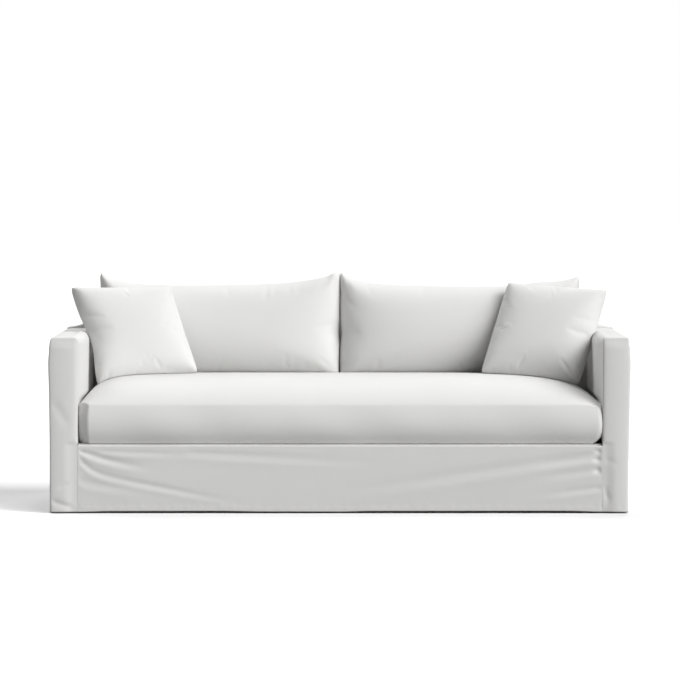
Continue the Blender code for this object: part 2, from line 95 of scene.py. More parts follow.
FRONT_Y = -DEPTH / 2.0
REAR_Y = DEPTH / 2.0
OUTER_X = WIDTH / 2.0
INNER_X = OUTER_X - ARM_WIDTH
RAIL_FACE_Y = REAR_Y - RAIL_THICKNESS
PANEL_FOOT = DECK_HEIGHT - CLOTH
MILLIMETRES = 1000.0
LITRES = 1000.0

# %% [markdown]
# ## Camera
# A long lens far in front of the sofa, a little above it and tipped down, so that the arms look
# nearly upright and the top of the seat still shows. It is set first, because every later choice
# is judged through it.

# %% Camera
CAMERA_PLACE = Vector((0.0, -14.98, 1.282))
CAMERA_PITCH = math.radians(2.51)
CAMERA_LENS = 205.4

camera_data = bpy.data.cameras.new("studio_camera")
camera_data.lens = CAMERA_LENS
camera_data.sensor_width = 36.0
camera_data.clip_end = 200.0
camera = bpy.data.objects.new("studio_camera", camera_data)
camera.location = CAMERA_PLACE
camera.rotation_euler = (math.radians(90.0) - CAMERA_PITCH, 0.0, 0.0)
bpy.context.scene.collection.objects.link(camera)
bpy.context.scene.camera = camera
print(f"camera {abs(CAMERA_PLACE.y) - DEPTH / 2.0:.2f} m in front of the cover")

# %% [markdown]
# ## Grids
# Cloth panels are surfaces over two parameters, so one helper turns a whole array of points into
# a mesh. Lines are crowded beside the seams, where the cloth bends most, and even in between.

# %% Grid helpers
CLOSE_LINES = np.array([0.0, 0.0008, 0.0018, 0.0032, 0.0050, 0.0080])
EDGE_LINES = 9
TINY = 1e-6
Wave = namedtuple("Wave", "height pitch shift")
WAVES = (Wave(1.0, 1.0, 1.0), Wave(0.6, 1.73, 2.1), Wave(0.4, 0.41, 5.3))


def ease(low, high, value):
    """0 below low, 1 above high and an S-curve between: 3t^2 - 2t^3 of the share of the way."""
    t = np.clip((value - low) / (high - low), 0.0, 1.0)
    return t * t * (3.0 - 2.0 * t)


def eased_table(keys, values, place):
    """Value at a place, eased between the two rows of the table around it."""
    keys, values = np.asarray(keys), np.asarray(values)
    row = np.clip(np.searchsorted(keys, place), 1, len(keys) - 1)
    share = ease(keys[row - 1], keys[row], place)
    return values[row - 1] * (1.0 - share) + values[row] * share


def bell(offset):
    """A soft bump: e to the minus offset squared."""
    return np.exp(-(offset**2))


def ripple(place, pitch, seed):
    """Uneven waves from about -1 to 1: three sines whose lengths have no common measure."""
    turn = 2.0 * np.pi * place / pitch
    return sum(w.height * np.sin(w.pitch * turn + w.shift * seed) for w in WAVES) / 2.0


def nearest(*distances):
    """The smallest of several distances at each place."""
    return reduce(np.minimum, distances)


def stacked(*parts):
    """Arrays that fit together, joined as the parts of one array of points."""
    return np.stack(np.broadcast_arrays(*parts), axis=-1)


def grid_lines(start, end, step, fine_start=True, fine_end=True):
    """Places from start to end: a few close lines beside a seam, then lines a step apart."""
    length = abs(end - start)
    first = CLOSE_LINES if fine_start else CLOSE_LINES[:1]
    last = length - (CLOSE_LINES[::-1] if fine_end else CLOSE_LINES[:1])
    count = max(int(round((last[0] - first[-1]) / step)), 1)
    middle = np.linspace(first[-1], last[0], count + 1)[1:-1]
    return start + math.copysign(1.0, end - start) * np.concatenate([first, middle, last])


def share_lines(length, step, fine_start=True):
    """The same lines over a length as shares of it, from 0 to 1."""
    lines = grid_lines(0.0, length, step, fine_start=fine_start)
    return lines / lines[-1]


def quarter(count):
    """Angles from 0 to a right angle."""
    return np.linspace(0.0, np.pi / 2.0, count)


def turn_in(*distances):
    """How far cloth lies behind its own plane at these distances from its corners: a circle of
    radius SEAM_TURN, so r minus the root of r squared less the squares of what is missing to r."""
    missing = sum(np.clip(SEAM_TURN - d, 0.0, SEAM_TURN) ** 2 for d in distances)
    return SEAM_TURN - np.sqrt(np.clip(SEAM_TURN**2 - missing, 0.0, None))


def build_mesh(name, points, faces, flat, seam):
    """A mesh object from arrays: points, quads, and per point the place on the flat cloth in
    metres (a UV map) and the distance to the nearest seam (an attribute)."""
    mesh = bpy.data.meshes.new(name)
    mesh.from_pydata(points.tolist(), [], faces.tolist())
    corners = faces.ravel()
    layer = mesh.uv_layers.new(name="cloth")
    layer.data.foreach_set("uv", flat[corners].astype(np.float32).ravel())
    near = mesh.attributes.new("seam_distance", "FLOAT", "POINT")
    near.data.foreach_set("value", seam.astype(np.float32))
    mesh.shade_smooth()
    mesh.validate()
    item = bpy.data.objects.new(name, mesh)
    bpy.context.scene.collection.objects.link(item)
    return item


def grid_faces(rows, columns):
    """The quads of a grid whose points are numbered row by row."""
    first = (np.arange(rows - 1)[:, None] * columns + np.arange(columns - 1)[None, :]).ravel()
    return np.stack([first, first + 1, first + columns + 1, first + columns], axis=1)


def cloth_sheet(name, points, flat, seam, facing, keep=None):
    """A sewn panel: its outer side from the grid of points, turned to face the given way, with
    the cloth's thickness added on its inner side."""
    rows, columns, _ = points.shape
    faces = grid_faces(rows, columns)
    if keep is not None:
        faces = faces[keep.ravel()]
    corner = points.reshape(-1, 3)
    first, second, third = (corner[faces[:, k]] for k in range(3))
    outward = np.cross(second - first, third - first).sum(axis=0)
    if np.dot(outward, facing) < 0.0:
        faces = faces[:, ::-1]
    used = np.unique(faces)
    number = np.zeros(len(corner), int)
    number[used] = np.arange(len(used))
    item = build_mesh(
        name, corner[used], number[faces], flat.reshape(-1, 2)[used], seam.ravel()[used]
    )
    thick = item.modifiers.new("cloth", "SOLIDIFY")
    thick.thickness = CLOTH
    thick.offset = -1.0
    thick.use_even_offset = False
    thick.use_quality_normals = True
    return item


print(f"panels meet {SEAM_EDGE * MILLIMETRES:.2f} mm from the corner that they share")

# %% [markdown]
# ## How the cloth of the arms and the hem lies
# Canvas on an arm is never in the seam's plane: it stands out a little over the padding and draws
# in towards the floor. The hem lifts a few millimetres between the corners. Both are short tables,
# read with an eased curve, so that a silhouette has no kinks. A crease is one row of a third
# table: a straight line on its panel, from the deep end to the shallow one, with a width and a
# depth. The panels and the cushions share that table.

# %% Swells and hems
SWELL_HEIGHTS = (0.000, 0.090, 0.260, 0.420, 0.560, 0.610, 0.640, ARM_HEIGHT)
SWELLS = {
    "left": (0.0088, 0.0098, 0.0100, 0.0116, 0.0155, 0.0115, 0.0080, 0.0),
    "right": (0.0000, 0.0000, 0.0030, 0.0065, 0.0103, 0.0072, 0.0030, 0.0),
}
SEAM_SHARE = 0.8
SWELL_RUN = 0.060

HEM_PLACES = (-OUTER_X, -INNER_X, -0.850, -0.450, -0.280, 0.000, 0.120, 0.850, INNER_X, OUTER_X)
HEM_RISES = (0.0002, 0.0010, 0.0038, 0.0043, 0.0023, 0.0020, 0.0042, 0.0047, 0.0018, 0.0006)
SIDE_HEM_RISE = 0.004
SIDE_HEM_WAVE = 0.3
HEM_ALLOWANCE = 0.022
HEM_STEP = 0.0003
HEM_STEP_RUN = 0.002
STITCH_DEPTH = 0.0003
STITCH_WIDTH = 0.0016
PULL_HEIGHT = 0.0006
PULL_WIDTH = 0.010
PULL_PITCH = 0.043


def swell(side, height):
    return eased_table(SWELL_HEIGHTS, SWELLS[side], height)


def seam_swell(side, height):
    """The seams take a share of the swell behind them."""
    return SEAM_SHARE * swell(side, height)


def front_hem(x):
    """How far the front's hem is lifted."""
    return eased_table(HEM_PLACES, HEM_RISES, x)


def swag(share):
    """Hem of the sides and the rear: one long uneven lift between the corners."""
    uneven = 1.0 + SIDE_HEM_WAVE * np.sin(5.0 * np.pi * share)
    return SIDE_HEM_RISE * np.sin(np.pi * share) * uneven


def hem_relief(above_hem, along, seed):
    """The turned hem is two cloths thick: a step out below its stitch line, a fine groove on
    the line, and small pulls beside it."""
    off = above_hem - HEM_ALLOWANCE
    step = HEM_STEP * ease(HEM_ALLOWANCE + HEM_STEP_RUN, HEM_ALLOWANCE - HEM_STEP_RUN, above_hem)
    groove = STITCH_DEPTH * bell(off / STITCH_WIDTH)
    pulls = PULL_HEIGHT * bell(off / PULL_WIDTH) * ripple(along, PULL_PITCH, seed)
    return step - groove + pulls


Crease = namedtuple("Crease", "from_across from_height to_across to_height width depth")
CREASES = {
    "arm_front_left": (
        Crease(-1.075, 0.040, -0.990, 0.012, 0.010, 0.0035),
        Crease(-1.062, 0.395, -1.008, 0.310, 0.018, 0.0020),
        Crease(-1.030, 0.105, -1.060, 0.090, 0.010, 0.0014),
    ),
    "arm_front_right": (
        Crease(0.988, 0.088, 1.012, 0.030, 0.011, 0.0032),
        Crease(1.000, 0.196, 1.050, 0.178, 0.012, 0.0012),
    ),
    "arm_outside_left": (
        Crease(-0.180, 0.000, -0.080, 0.460, 0.050, 0.0045),
        Crease(0.200, 0.000, 0.170, 0.380, 0.060, 0.0050),
        Crease(-0.440, 0.060, -0.330, 0.020, 0.018, 0.0020),
        Crease(0.330, 0.640, 0.120, 0.560, 0.020, 0.0016),
    ),
    "arm_outside_right": (
        Crease(-0.120, 0.000, -0.190, 0.400, 0.055, 0.0045),
        Crease(0.230, 0.000, 0.180, 0.460, 0.060, 0.0050),
        Crease(-0.430, 0.090, -0.300, 0.050, 0.018, 0.0018),
        Crease(0.320, 0.630, 0.090, 0.570, 0.022, 0.0016),
    ),
    "outside_back": (
        Crease(-0.620, 0.000, -0.560, 0.420, 0.090, 0.0055),
        Crease(-0.090, 0.000, -0.130, 0.520, 0.100, 0.0050),
        Crease(0.520, 0.000, 0.600, 0.460, 0.090, 0.0055),
        Crease(-1.020, 0.600, -0.700, 0.520, 0.022, 0.0018),
        Crease(1.020, 0.590, 0.760, 0.540, 0.024, 0.0018),
    ),
    "back_cushion_left": (
        Crease(0.655, 0.395, 0.648, 0.330, 0.010, 0.0028),
        Crease(0.690, 0.398, 0.684, 0.345, 0.009, 0.0022),
        Crease(0.740, 0.400, 0.748, 0.345, 0.010, 0.0026),
        Crease(0.790, 0.405, 0.772, 0.350, 0.010, 0.0024),
        Crease(0.905, 0.400, 0.840, 0.350, 0.009, 0.0045),
        Crease(0.922, 0.385, 0.905, 0.290, 0.008, 0.0040),
        Crease(0.925, 0.020, 0.870, 0.060, 0.012, 0.0018),
        Crease(0.330, 0.300, 0.640, 0.280, 0.018, 0.0028),
        Crease(0.930, 0.210, 0.780, 0.200, 0.014, 0.0024),
        Crease(0.500, 0.398, 0.505, 0.350, 0.010, 0.0026),
    ),
    "back_cushion_right": (
        Crease(0.006, 0.330, 0.085, 0.265, 0.014, 0.0044),
        Crease(0.006, 0.205, 0.085, 0.160, 0.015, 0.0030),
        Crease(0.030, 0.395, 0.045, 0.320, 0.008, 0.0034),
        Crease(0.110, 0.398, 0.130, 0.345, 0.010, 0.0024),
        Crease(0.330, 0.398, 0.322, 0.350, 0.010, 0.0022),
        Crease(0.150, 0.280, 0.420, 0.262, 0.018, 0.0026),
        Crease(0.012, 0.020, 0.060, 0.070, 0.010, 0.0026),
    ),
    "throw_pillow_left": (
        Crease(0.012, 0.270, 0.110, 0.240, 0.013, 0.0022),
        Crease(0.010, 0.210, 0.120, 0.190, 0.014, 0.0020),
        Crease(0.020, 0.014, 0.062, 0.036, 0.008, 0.0028),
        Crease(0.036, 0.008, 0.052, 0.034, 0.006, 0.0018),
    ),
    "throw_pillow_right": (
        Crease(0.375, 0.255, 0.290, 0.245, 0.014, 0.0024),
        Crease(0.380, 0.190, 0.280, 0.200, 0.015, 0.0026),
        Crease(0.366, 0.018, 0.335, 0.050, 0.008, 0.0026),
    ),
}


def crease_depth(panel, across, height):
    """How far the creases of a panel sink in: a bell across each straight line, fading along
    it from its deep end."""
    depth = np.zeros(np.broadcast(across, height).shape)
    for crease in CREASES[panel]:
        run_x = crease.to_across - crease.from_across
        run_z = crease.to_height - crease.from_height
        length = math.hypot(run_x, run_z)
        reach_x, reach_z = across - crease.from_across, height - crease.from_height
        along = np.clip((reach_x * run_x + reach_z * run_z) / length**2, 0.0, 1.0)
        off = np.hypot(reach_x - run_x * along, reach_z - run_z * along)
        depth += crease.depth * ease(1.0, 0.5, along) * bell(off / crease.width)
    return depth


print(f"{sum(map(len, CREASES.values()))} creases on {len(CREASES)} panels and cushions")

# %% [markdown]
# ## Arm fronts
# A strip up the front of each arm, from the floor to the arm's top, with a round inner top corner.
# It could be a box face, but the cloth is slightly crowned over its padding and rolls back into
# its seams, and that roll is what draws the fine light and dark lines beside each arm.

# %% Arm fronts
ARM_CORNER_FRONT = 0.010
ARM_CORNER_BEHIND = 0.030
ARM_CORNER_RUN = 0.080
ARM_FRONT_CROWN = 0.0060
CROWN_POWER = 0.6
CROWN_TOP_RUN = 0.045
SEAM_ROLL = 0.0011
SEAM_ROLL_RUN = 0.011
CREASE_FADE = 0.022
ABOVE_DECK = (DECK_HEIGHT - 0.004, DECK_HEIGHT + 0.012)
APRON_GAP = SEAM_GAP / 3.0
APRON_SIDE_RUN = 0.020
APRON_FLAT_RUN = 0.050
SIDES = {"left": -1.0, "right": 1.0}

pieces = {}


def add_piece(name, item):
    """Keeps a piece under the name of the node whose place it takes."""
    pieces[name] = item
    print(f"{name}: {len(item.data.polygons)} quads")


def arm_front(side):
    """Across runs from the outer seam to the inner one, up from the hem to the top. The cloth
    lies at the front plane, less its crown, plus the turn into each seam and the creases."""
    name = f"arm_front_{side}"
    sign = SIDES[side]
    across = grid_lines(OUTER_X - SEAM_EDGE, INNER_X + SEAM_EDGE, step=0.0042)[None, :]
    share = share_lines(ARM_HEIGHT - SEAM_EDGE, step=0.0050, fine_start=False)[:, None]
    corner = ARM_CORNER_FRONT - SEAM_EDGE
    into = np.clip(INNER_X + ARM_CORNER_FRONT - across, 0.0, corner)
    top = ARM_HEIGHT - SEAM_EDGE - (corner - np.sqrt(corner**2 - into**2))
    foot = front_hem(sign * across)
    z = foot + (top - foot) * share
    outward = (across - INNER_X) / ARM_WIDTH
    wide = across + outward * seam_swell(side, z)
    from_outer = OUTER_X - across
    from_inner = across - INNER_X
    from_top = top + SEAM_EDGE - z
    above_deck = ease(*ABOVE_DECK, z)
    beside_apron = 1.0 - above_deck
    wide = wide - beside_apron * (SEAM_EDGE - APRON_GAP) * ease(APRON_SIDE_RUN, 0.0, from_inner)
    flat_inner = from_inner + beside_apron * SEAM_TURN
    middle = ease(0.0, CREASE_FADE, np.minimum(from_outer, from_inner))
    lens = np.clip(4.0 * from_outer * from_inner / ARM_WIDTH**2, 0.0, 1.0) ** CROWN_POWER
    lens = lens * (1.0 - beside_apron * ease(APRON_FLAT_RUN, 0.0, from_inner))
    crown = ARM_FRONT_CROWN * lens * ease(0.0, CROWN_TOP_RUN, from_top)
    roll = SEAM_ROLL * ease(SEAM_ROLL_RUN, 0.0, from_inner) * above_deck
    creases = middle * crease_depth(name, sign * wide, z)
    hem = hem_relief(z - foot, sign * across, seed=1.0)
    y = FRONT_Y + turn_in(from_outer, flat_inner, from_top) + roll - crown + creases - hem
    points = stacked(sign * wide, y, z)
    seam = nearest(from_outer, from_inner, from_top)
    return cloth_sheet(f"{name}_canvas", points, stacked(sign * across, z), seam, (0.0, -1.0, 0.0))


for side in SIDES:
    add_piece(f"arm_front_{side}", arm_front(side))

# %% [markdown]
# ## Arm tops and insides
# The arm's top and its inside are one length of cloth, so there is no seam on the inner top edge,
# only a bend that is tight at the front seam and softens behind it. A profile (across the top,
# round the bend, down the inside) is carried from front to back, and its bend's radius changes
# on the way.

# %% Arm tops and insides
ARM_TOP_CROWN = 0.0012
ARM_TOP_FADES = (0.030, 0.040)
ARM_TOP_WAVE = 0.6
ARM_TOP_SEEDS = {"left": 0.7, "right": 2.9}
ARM_PADDING = 0.016
PADDING_FRONT = (FRONT_Y + 0.02, FRONT_Y + 0.24)
PADDING_REAR = (RAIL_FACE_Y, RAIL_FACE_Y - 0.16)
PADDING_FOOT = 0.405
PADDING_RISE = 0.030
BEND_LINES = 13
FACE_LINES = 40


def padding(y, z):
    """How far the arm's inside stands out: above the seat, between the front and the rail."""
    along = ease(*PADDING_FRONT, y) * ease(*PADDING_REAR, y)
    return ARM_PADDING * along * ease(PADDING_FOOT, PADDING_FOOT + PADDING_RISE, z)


def arm_inside(side):
    """Columns follow the profile: the top's share, then the bend's angle, then the face's share.
    Each point is moved in along the profile's own normal where it turns into the front seam."""
    sign = SIDES[side]
    y = grid_lines(FRONT_Y + SEAM_EDGE, RAIL_FACE_Y - SEAM_GAP, step=0.012)[:, None]
    behind = ease(FRONT_Y, FRONT_Y + ARM_CORNER_RUN, y)
    radius = ARM_CORNER_FRONT + (ARM_CORNER_BEHIND - ARM_CORNER_FRONT) * behind
    top = grid_lines(0.0, 1.0, step=0.08)[None, : -len(CLOSE_LINES)]
    arc = quarter(BEND_LINES)[None, :]
    face = np.linspace(0.0, 1.0, FACE_LINES)[None, 1:]
    start = OUTER_X - SEAM_EDGE
    bend = INNER_X + radius
    top_x = start + (bend - start) * top
    arc_x = bend - radius * np.sin(arc)
    face_x = INNER_X + 0.0 * (face + y)
    top_z = ARM_HEIGHT + 0.0 * top_x
    arc_z = ARM_HEIGHT - radius * (1.0 - np.cos(arc))
    face_z = ARM_HEIGHT - radius + (PANEL_FOOT - ARM_HEIGHT + radius) * face
    x = np.concatenate([top_x, arc_x, face_x], axis=1)
    z = np.concatenate([top_z, arc_z, face_z], axis=1)
    tilt = np.concatenate([0.0 * top, arc, 0.0 * face + np.pi / 2.0], axis=1)
    from_outer = np.where(tilt > 0.0, 1.0, OUTER_X - x)
    from_front = y - FRONT_Y
    shared = turn_in(from_outer, from_front)
    side_fade, front_fade = ARM_TOP_FADES
    crown = ARM_TOP_CROWN * np.cos(tilt)
    crown = crown * ease(0.0, side_fade, from_outer) * ease(0.0, front_fade, from_front)
    crown = crown * (1.0 + ARM_TOP_WAVE * ripple(y, pitch=0.31, seed=ARM_TOP_SEEDS[side]))
    crown = crown * ease(INNER_X, INNER_X + side_fade, x)
    out = crown + padding(y, z) * np.sin(tilt) - shared
    x = x - np.sin(tilt) * out
    z = z + np.cos(tilt) * out
    step = np.hypot(np.diff(x, axis=1), np.diff(z, axis=1))
    path = np.concatenate([np.zeros_like(y), np.cumsum(step, axis=1)], axis=1)
    seam = nearest(from_outer, from_front, path[:, -1:] - path)
    points, flat = stacked(sign * x, y, z), stacked(path, y)
    return cloth_sheet(f"arm_inside_{side}_canvas", points, flat, seam, (-sign, 0.0, 1.0))


for side in SIDES:
    add_piece(f"arm_inside_{side}", arm_inside(side))

# %% [markdown]
# ## Arm outsides
# The sides reach from the front seam to the rear one and from the floor to the arm's top. They
# stand out over the padding behind the front seam, and hang in two or three soft shallow folds.

# %% Arm outsides
RAIL_STEP = 0.004
SWELL_START = 0.008
CREASE_TOP_FADE = 0.05


def rail_top(x):
    """Height of the back rail: level in the middle, eased down at both shoulders."""
    return RAIL_HEIGHT - SHOULDER_DROP * ease(OUTER_X - SHOULDER_RUN, OUTER_X, np.abs(x))


def arm_outside(side):
    """The side's plane, plus its swell, less its creases and the turns into its three seams."""
    name = f"arm_outside_{side}"
    sign = SIDES[side]
    front_part = grid_lines(FRONT_Y + SEAM_EDGE, RAIL_FACE_Y, step=0.0075, fine_end=False)
    rear_start = RAIL_FACE_Y + RAIL_STEP
    rear_part = grid_lines(rear_start, REAR_Y - SEAM_EDGE, step=0.0075, fine_start=False)
    y = np.concatenate([front_part, rear_part])[None, :]
    share = share_lines(ARM_HEIGHT - SEAM_EDGE, step=0.0075, fine_start=False)[:, None]
    lift = (rail_top(OUTER_X) - ARM_HEIGHT) * (y > rear_start - RAIL_STEP / 2.0)
    top = ARM_HEIGHT + lift - SEAM_EDGE
    foot = swag((y - FRONT_Y) / DEPTH)
    z = foot + (top - foot) * share
    from_front = y - FRONT_Y
    from_rear = REAR_Y - y
    from_top = top + SEAM_EDGE - z
    full = ease(SWELL_START, SWELL_RUN, np.minimum(from_front, from_rear))
    out = seam_swell(side, z)
    out = out + (swell(side, z) - out) * full
    out = out - full * ease(0.0, CREASE_TOP_FADE, from_top) * crease_depth(name, y, z)
    out = out + hem_relief(z - foot, y, seed=2.0 + sign)
    out = out - turn_in(from_front, from_rear, from_top)
    points = stacked(sign * (OUTER_X + out), y, z)
    seam = nearest(from_front, from_rear, from_top)
    return cloth_sheet(f"{name}_canvas", points, stacked(y, z), seam, (sign, 0.0, 0.0))


for side in SIDES:
    add_piece(f"arm_outside_{side}", arm_outside(side))

# %% [markdown]
# ## Front apron
# The panel below the seat goes from the hem up and round over the deck's front edge. It is pulled
# askew by the sofa's weight on it, so long folds run from the arm seams and die out towards the
# middle. Simulated cloth would put them anywhere. Here each fold is one row of a table: its valley
# follows a falling curve away from the seam, with a soft roll below the valley.

# %% Folds of the apron
APRON_CORNER = 0.008
APRON_FLAP = 0.018
CREST_DROP = 0.0058
FLAP_START = DECK_HEIGHT + 0.007
FOLD_RAMP = 0.030
FOLD_RIDGE = 0.45
FOLD_ROLL = 1.6
FOLD_SIDE_FADE = 0.014
FOLD_TOP_FADE = 0.030
WIDTH_RUN = 0.150
APRON_LINES = 66

Fold = namedtuple("Fold", "side height drop drop_run slope begins ends width far_width depth")
APRON_FOLDS = (
    Fold("left", 0.238, 0.088, 0.180, 0.000, 0.000, 0.300, 0.0120, 0.0150, 0.0038),
    Fold("left", 0.218, 0.064, 0.040, 0.195, 0.000, 0.680, 0.0140, 0.0120, 0.0025),
    Fold("left", 0.246, 0.030, 0.200, 0.000, 0.080, 0.480, 0.0110, 0.0130, 0.0020),
    Fold("left", 0.248, 0.000, 0.100, 0.056, 0.420, 1.300, 0.0140, 0.0160, 0.0018),
    Fold("left", 0.120, 0.020, 0.080, 0.060, 0.000, 0.300, 0.0150, 0.0200, 0.0016),
    Fold("right", 0.222, 0.000, 0.100, 0.150, 0.000, 1.150, 0.0110, 0.0220, 0.0024),
    Fold("right", 0.204, 0.000, 0.100, 0.105, 0.000, 0.300, 0.0100, 0.0160, 0.0016),
    Fold("right", 0.160, 0.000, 0.100, 0.120, 0.000, 0.300, 0.0110, 0.0180, 0.0014),
    Fold("right", 0.094, 0.000, 0.100, 0.125, 0.000, 0.280, 0.0110, 0.0160, 0.0020),
)

Dent = namedtuple("Dent", "x z wide tall depth")
SEAM_DENTS = (
    Dent(0.968, 0.233, 0.014, 0.009, 0.0080),
    Dent(0.966, 0.197, 0.014, 0.010, 0.0052),
    Dent(0.968, 0.157, 0.014, 0.012, 0.0048),
    Dent(-0.968, 0.226, 0.008, 0.006, 0.0020),
    Dent(-0.966, 0.182, 0.007, 0.006, 0.0015),
)


def fold_height(x, z):
    """Outward height of the apron: per fold, minus a bell on its valley and plus a smaller
    bell a little below it, whose width eases to its far width away from the seam."""
    height = 0.0 * (x + z)
    for fold in APRON_FOLDS:
        d = np.abs(x - (-INNER_X if fold.side == "left" else INNER_X))
        valley = fold.height - fold.drop * (1.0 - np.exp(-d / fold.drop_run)) - fold.slope * d
        width = fold.far_width + (fold.width - fold.far_width) * np.exp(-d / WIDTH_RUN)
        lives = ease(fold.begins - FOLD_RAMP, fold.begins + FOLD_RAMP, d)
        lives = lives * ease(fold.ends, (fold.begins + fold.ends) / 3.0, d)
        off = (z - valley) / width
        height = height + fold.depth * lives * (FOLD_RIDGE * bell(off + FOLD_ROLL) - bell(off))
    for dent in SEAM_DENTS:
        off = np.hypot((x - dent.x) / dent.wide, (z - dent.z) / dent.tall)
        height = height - dent.depth * bell(off)
    return height


def front_apron():
    """Rows go up the face, then by angle round the deck's edge, then back along the flap. Both
    ends lie flat and meet the arm fronts edge to edge."""
    left, right = -INNER_X + APRON_GAP, INNER_X - APRON_GAP
    x = grid_lines(left, right, step=0.0062)[None, :]
    face = np.linspace(0.0, 1.0, APRON_LINES)[:, None]
    arc = quarter(EDGE_LINES)[1:, None]
    flap = np.array([0.5, 1.0])[:, None]
    bend = DECK_HEIGHT - APRON_CORNER
    foot = front_hem(x)
    face_z = foot + (bend - foot) * face
    edge = np.minimum(x - left, right - x)
    fade = ease(0.0, FOLD_SIDE_FADE, edge) * ease(0.0, FOLD_TOP_FADE, bend - face_z)
    relief = fade * fold_height(x, face_z) + hem_relief(face_z - foot, x, seed=4.0)
    face_y = FRONT_Y - relief
    arc_y = FRONT_Y + APRON_CORNER * (1.0 - np.cos(arc)) + 0.0 * x
    arc_z = bend + (APRON_CORNER - CREST_DROP) * np.sin(arc) + 0.0 * x
    flap_y = FRONT_Y + APRON_CORNER + APRON_FLAP * flap + 0.0 * x
    flap_z = DECK_HEIGHT - CREST_DROP * (1.0 - flap) + 0.0 * flap_y
    y = np.concatenate([face_y, arc_y, flap_y])
    z = np.concatenate([face_z, arc_z, flap_z])
    up = np.concatenate([face * bend, bend + arc * APRON_CORNER, FLAP_START + APRON_FLAP * flap])
    points, flat, seam = stacked(x, y, z), stacked(x, up), edge + 0.0 * z
    return cloth_sheet("front_apron_canvas", points, flat, seam, (0.0, -1.0, 0.3))


add_piece("front_apron", front_apron())
print(f"{len(APRON_FOLDS)} folds and {len(SEAM_DENTS)} dents in the apron")

# %% [markdown]
# ## Deck and back
# The deck is the flat panel under the seat cushion. The inside back is T-shaped: its stem goes up
# between the arms and its bar goes over the back rail for the sofa's whole width, with sloping
# shoulders. A T is a full grid from which the two places beside the stem are left out.

# %% Deck, inside back and outside back
RAIL_CORNER = 0.015
RAIL_WAVE = 0.0012
RAIL_WAVE_FADE = 0.030
DECK_SAG = 0.0008
DECK_SAG_FADE = 0.080
STEM_LINES = 27
RAIL_FACE_LINES = 5
STEM_ALLOWANCE = 0.010
BACK_CREASE_FADE = (0.010, 0.080)


def seat_deck():
    """Level, with the faintest unevenness downwards."""
    half = INNER_X - SEAM_GAP
    front = FRONT_Y + APRON_CORNER + APRON_FLAP + SEAM_GAP
    x = grid_lines(-half, half, step=0.030)[None, :]
    y = grid_lines(front, RAIL_FACE_Y - SEAM_GAP, step=0.030)[:, None]
    edge = nearest(x + half, half - x, y - y[0], y[-1] - y)
    uneven = 1.0 + ripple(x, pitch=0.37, seed=1.2) * ripple(y, pitch=0.29, seed=0.4)
    z = DECK_HEIGHT - DECK_SAG * ease(0.0, DECK_SAG_FADE, edge) * uneven
    points, flat = stacked(x, y, z), stacked(x, y)
    return cloth_sheet("seat_deck_canvas", points, flat, edge, (0.0, 0.0, 1.0))


def inside_back():
    """Rows go up the stem, up the rail's face, round its front edge and over its top."""
    stem = INNER_X - SEAM_GAP
    middle = grid_lines(-stem, stem, step=0.014)
    shoulder = grid_lines(stem, OUTER_X - SEAM_EDGE, step=0.008)[1:]
    x = np.concatenate([-shoulder[::-1], middle, shoulder])[None, :]
    level = ARM_HEIGHT + SEAM_GAP
    crest = rail_top(x)
    radius = np.minimum(RAIL_CORNER, (crest - level) / 2.0)
    stem_share = np.linspace(0.0, 1.0, STEM_LINES)[:, None]
    face_share = np.linspace(0.0, 1.0, RAIL_FACE_LINES)[1:, None]
    arc = quarter(EDGE_LINES)[1:, None]
    over = grid_lines(0.0, 1.0, step=0.09, fine_start=False)[1:, None]
    rear = REAR_Y - SEAM_EDGE
    stem_z = PANEL_FOOT + (level - PANEL_FOOT) * stem_share + 0.0 * x
    face_z = level + (crest - radius - level) * face_share
    arc_z = crest - radius + radius * np.sin(arc)
    over_z = crest + 0.0 * over
    stem_y = RAIL_FACE_Y + 0.0 * stem_z
    face_y = RAIL_FACE_Y + 0.0 * face_z
    arc_y = RAIL_FACE_Y + radius * (1.0 - np.cos(arc))
    over_y = RAIL_FACE_Y + radius + (rear - RAIL_FACE_Y - radius) * over
    y = np.concatenate([stem_y, face_y, arc_y, over_y])
    z = np.concatenate([stem_z, face_z, arc_z, over_z])
    on_top = ease(level, RAIL_HEIGHT, z)
    half = np.where(z > level - TINY, OUTER_X, stem + STEM_ALLOWANCE)
    from_side = half - np.abs(x)
    from_rear = REAR_Y - y
    wave = RAIL_WAVE * on_top * ease(0.0, RAIL_WAVE_FADE, np.minimum(from_side, from_rear))
    wave = wave * ripple(x, pitch=0.33, seed=2.2)
    z = z + wave - turn_in(np.abs(from_side), from_rear) * on_top
    step = np.hypot(np.diff(y, axis=0), np.diff(z, axis=0))
    up = np.concatenate([np.zeros_like(x), np.cumsum(step, axis=0)])
    points, flat = stacked(x, y, z), stacked(x, up)
    centre = (np.abs(x[:, 1:]) + np.abs(x[:, :-1])) / 2.0
    keep = (centre < stem) | (np.arange(len(y) - 1)[:, None] >= len(stem_share) - 1)
    seam = np.minimum(np.abs(from_side), from_rear)
    return cloth_sheet("inside_back_canvas", points, flat, seam, (0.0, -1.0, 0.5), keep=keep)


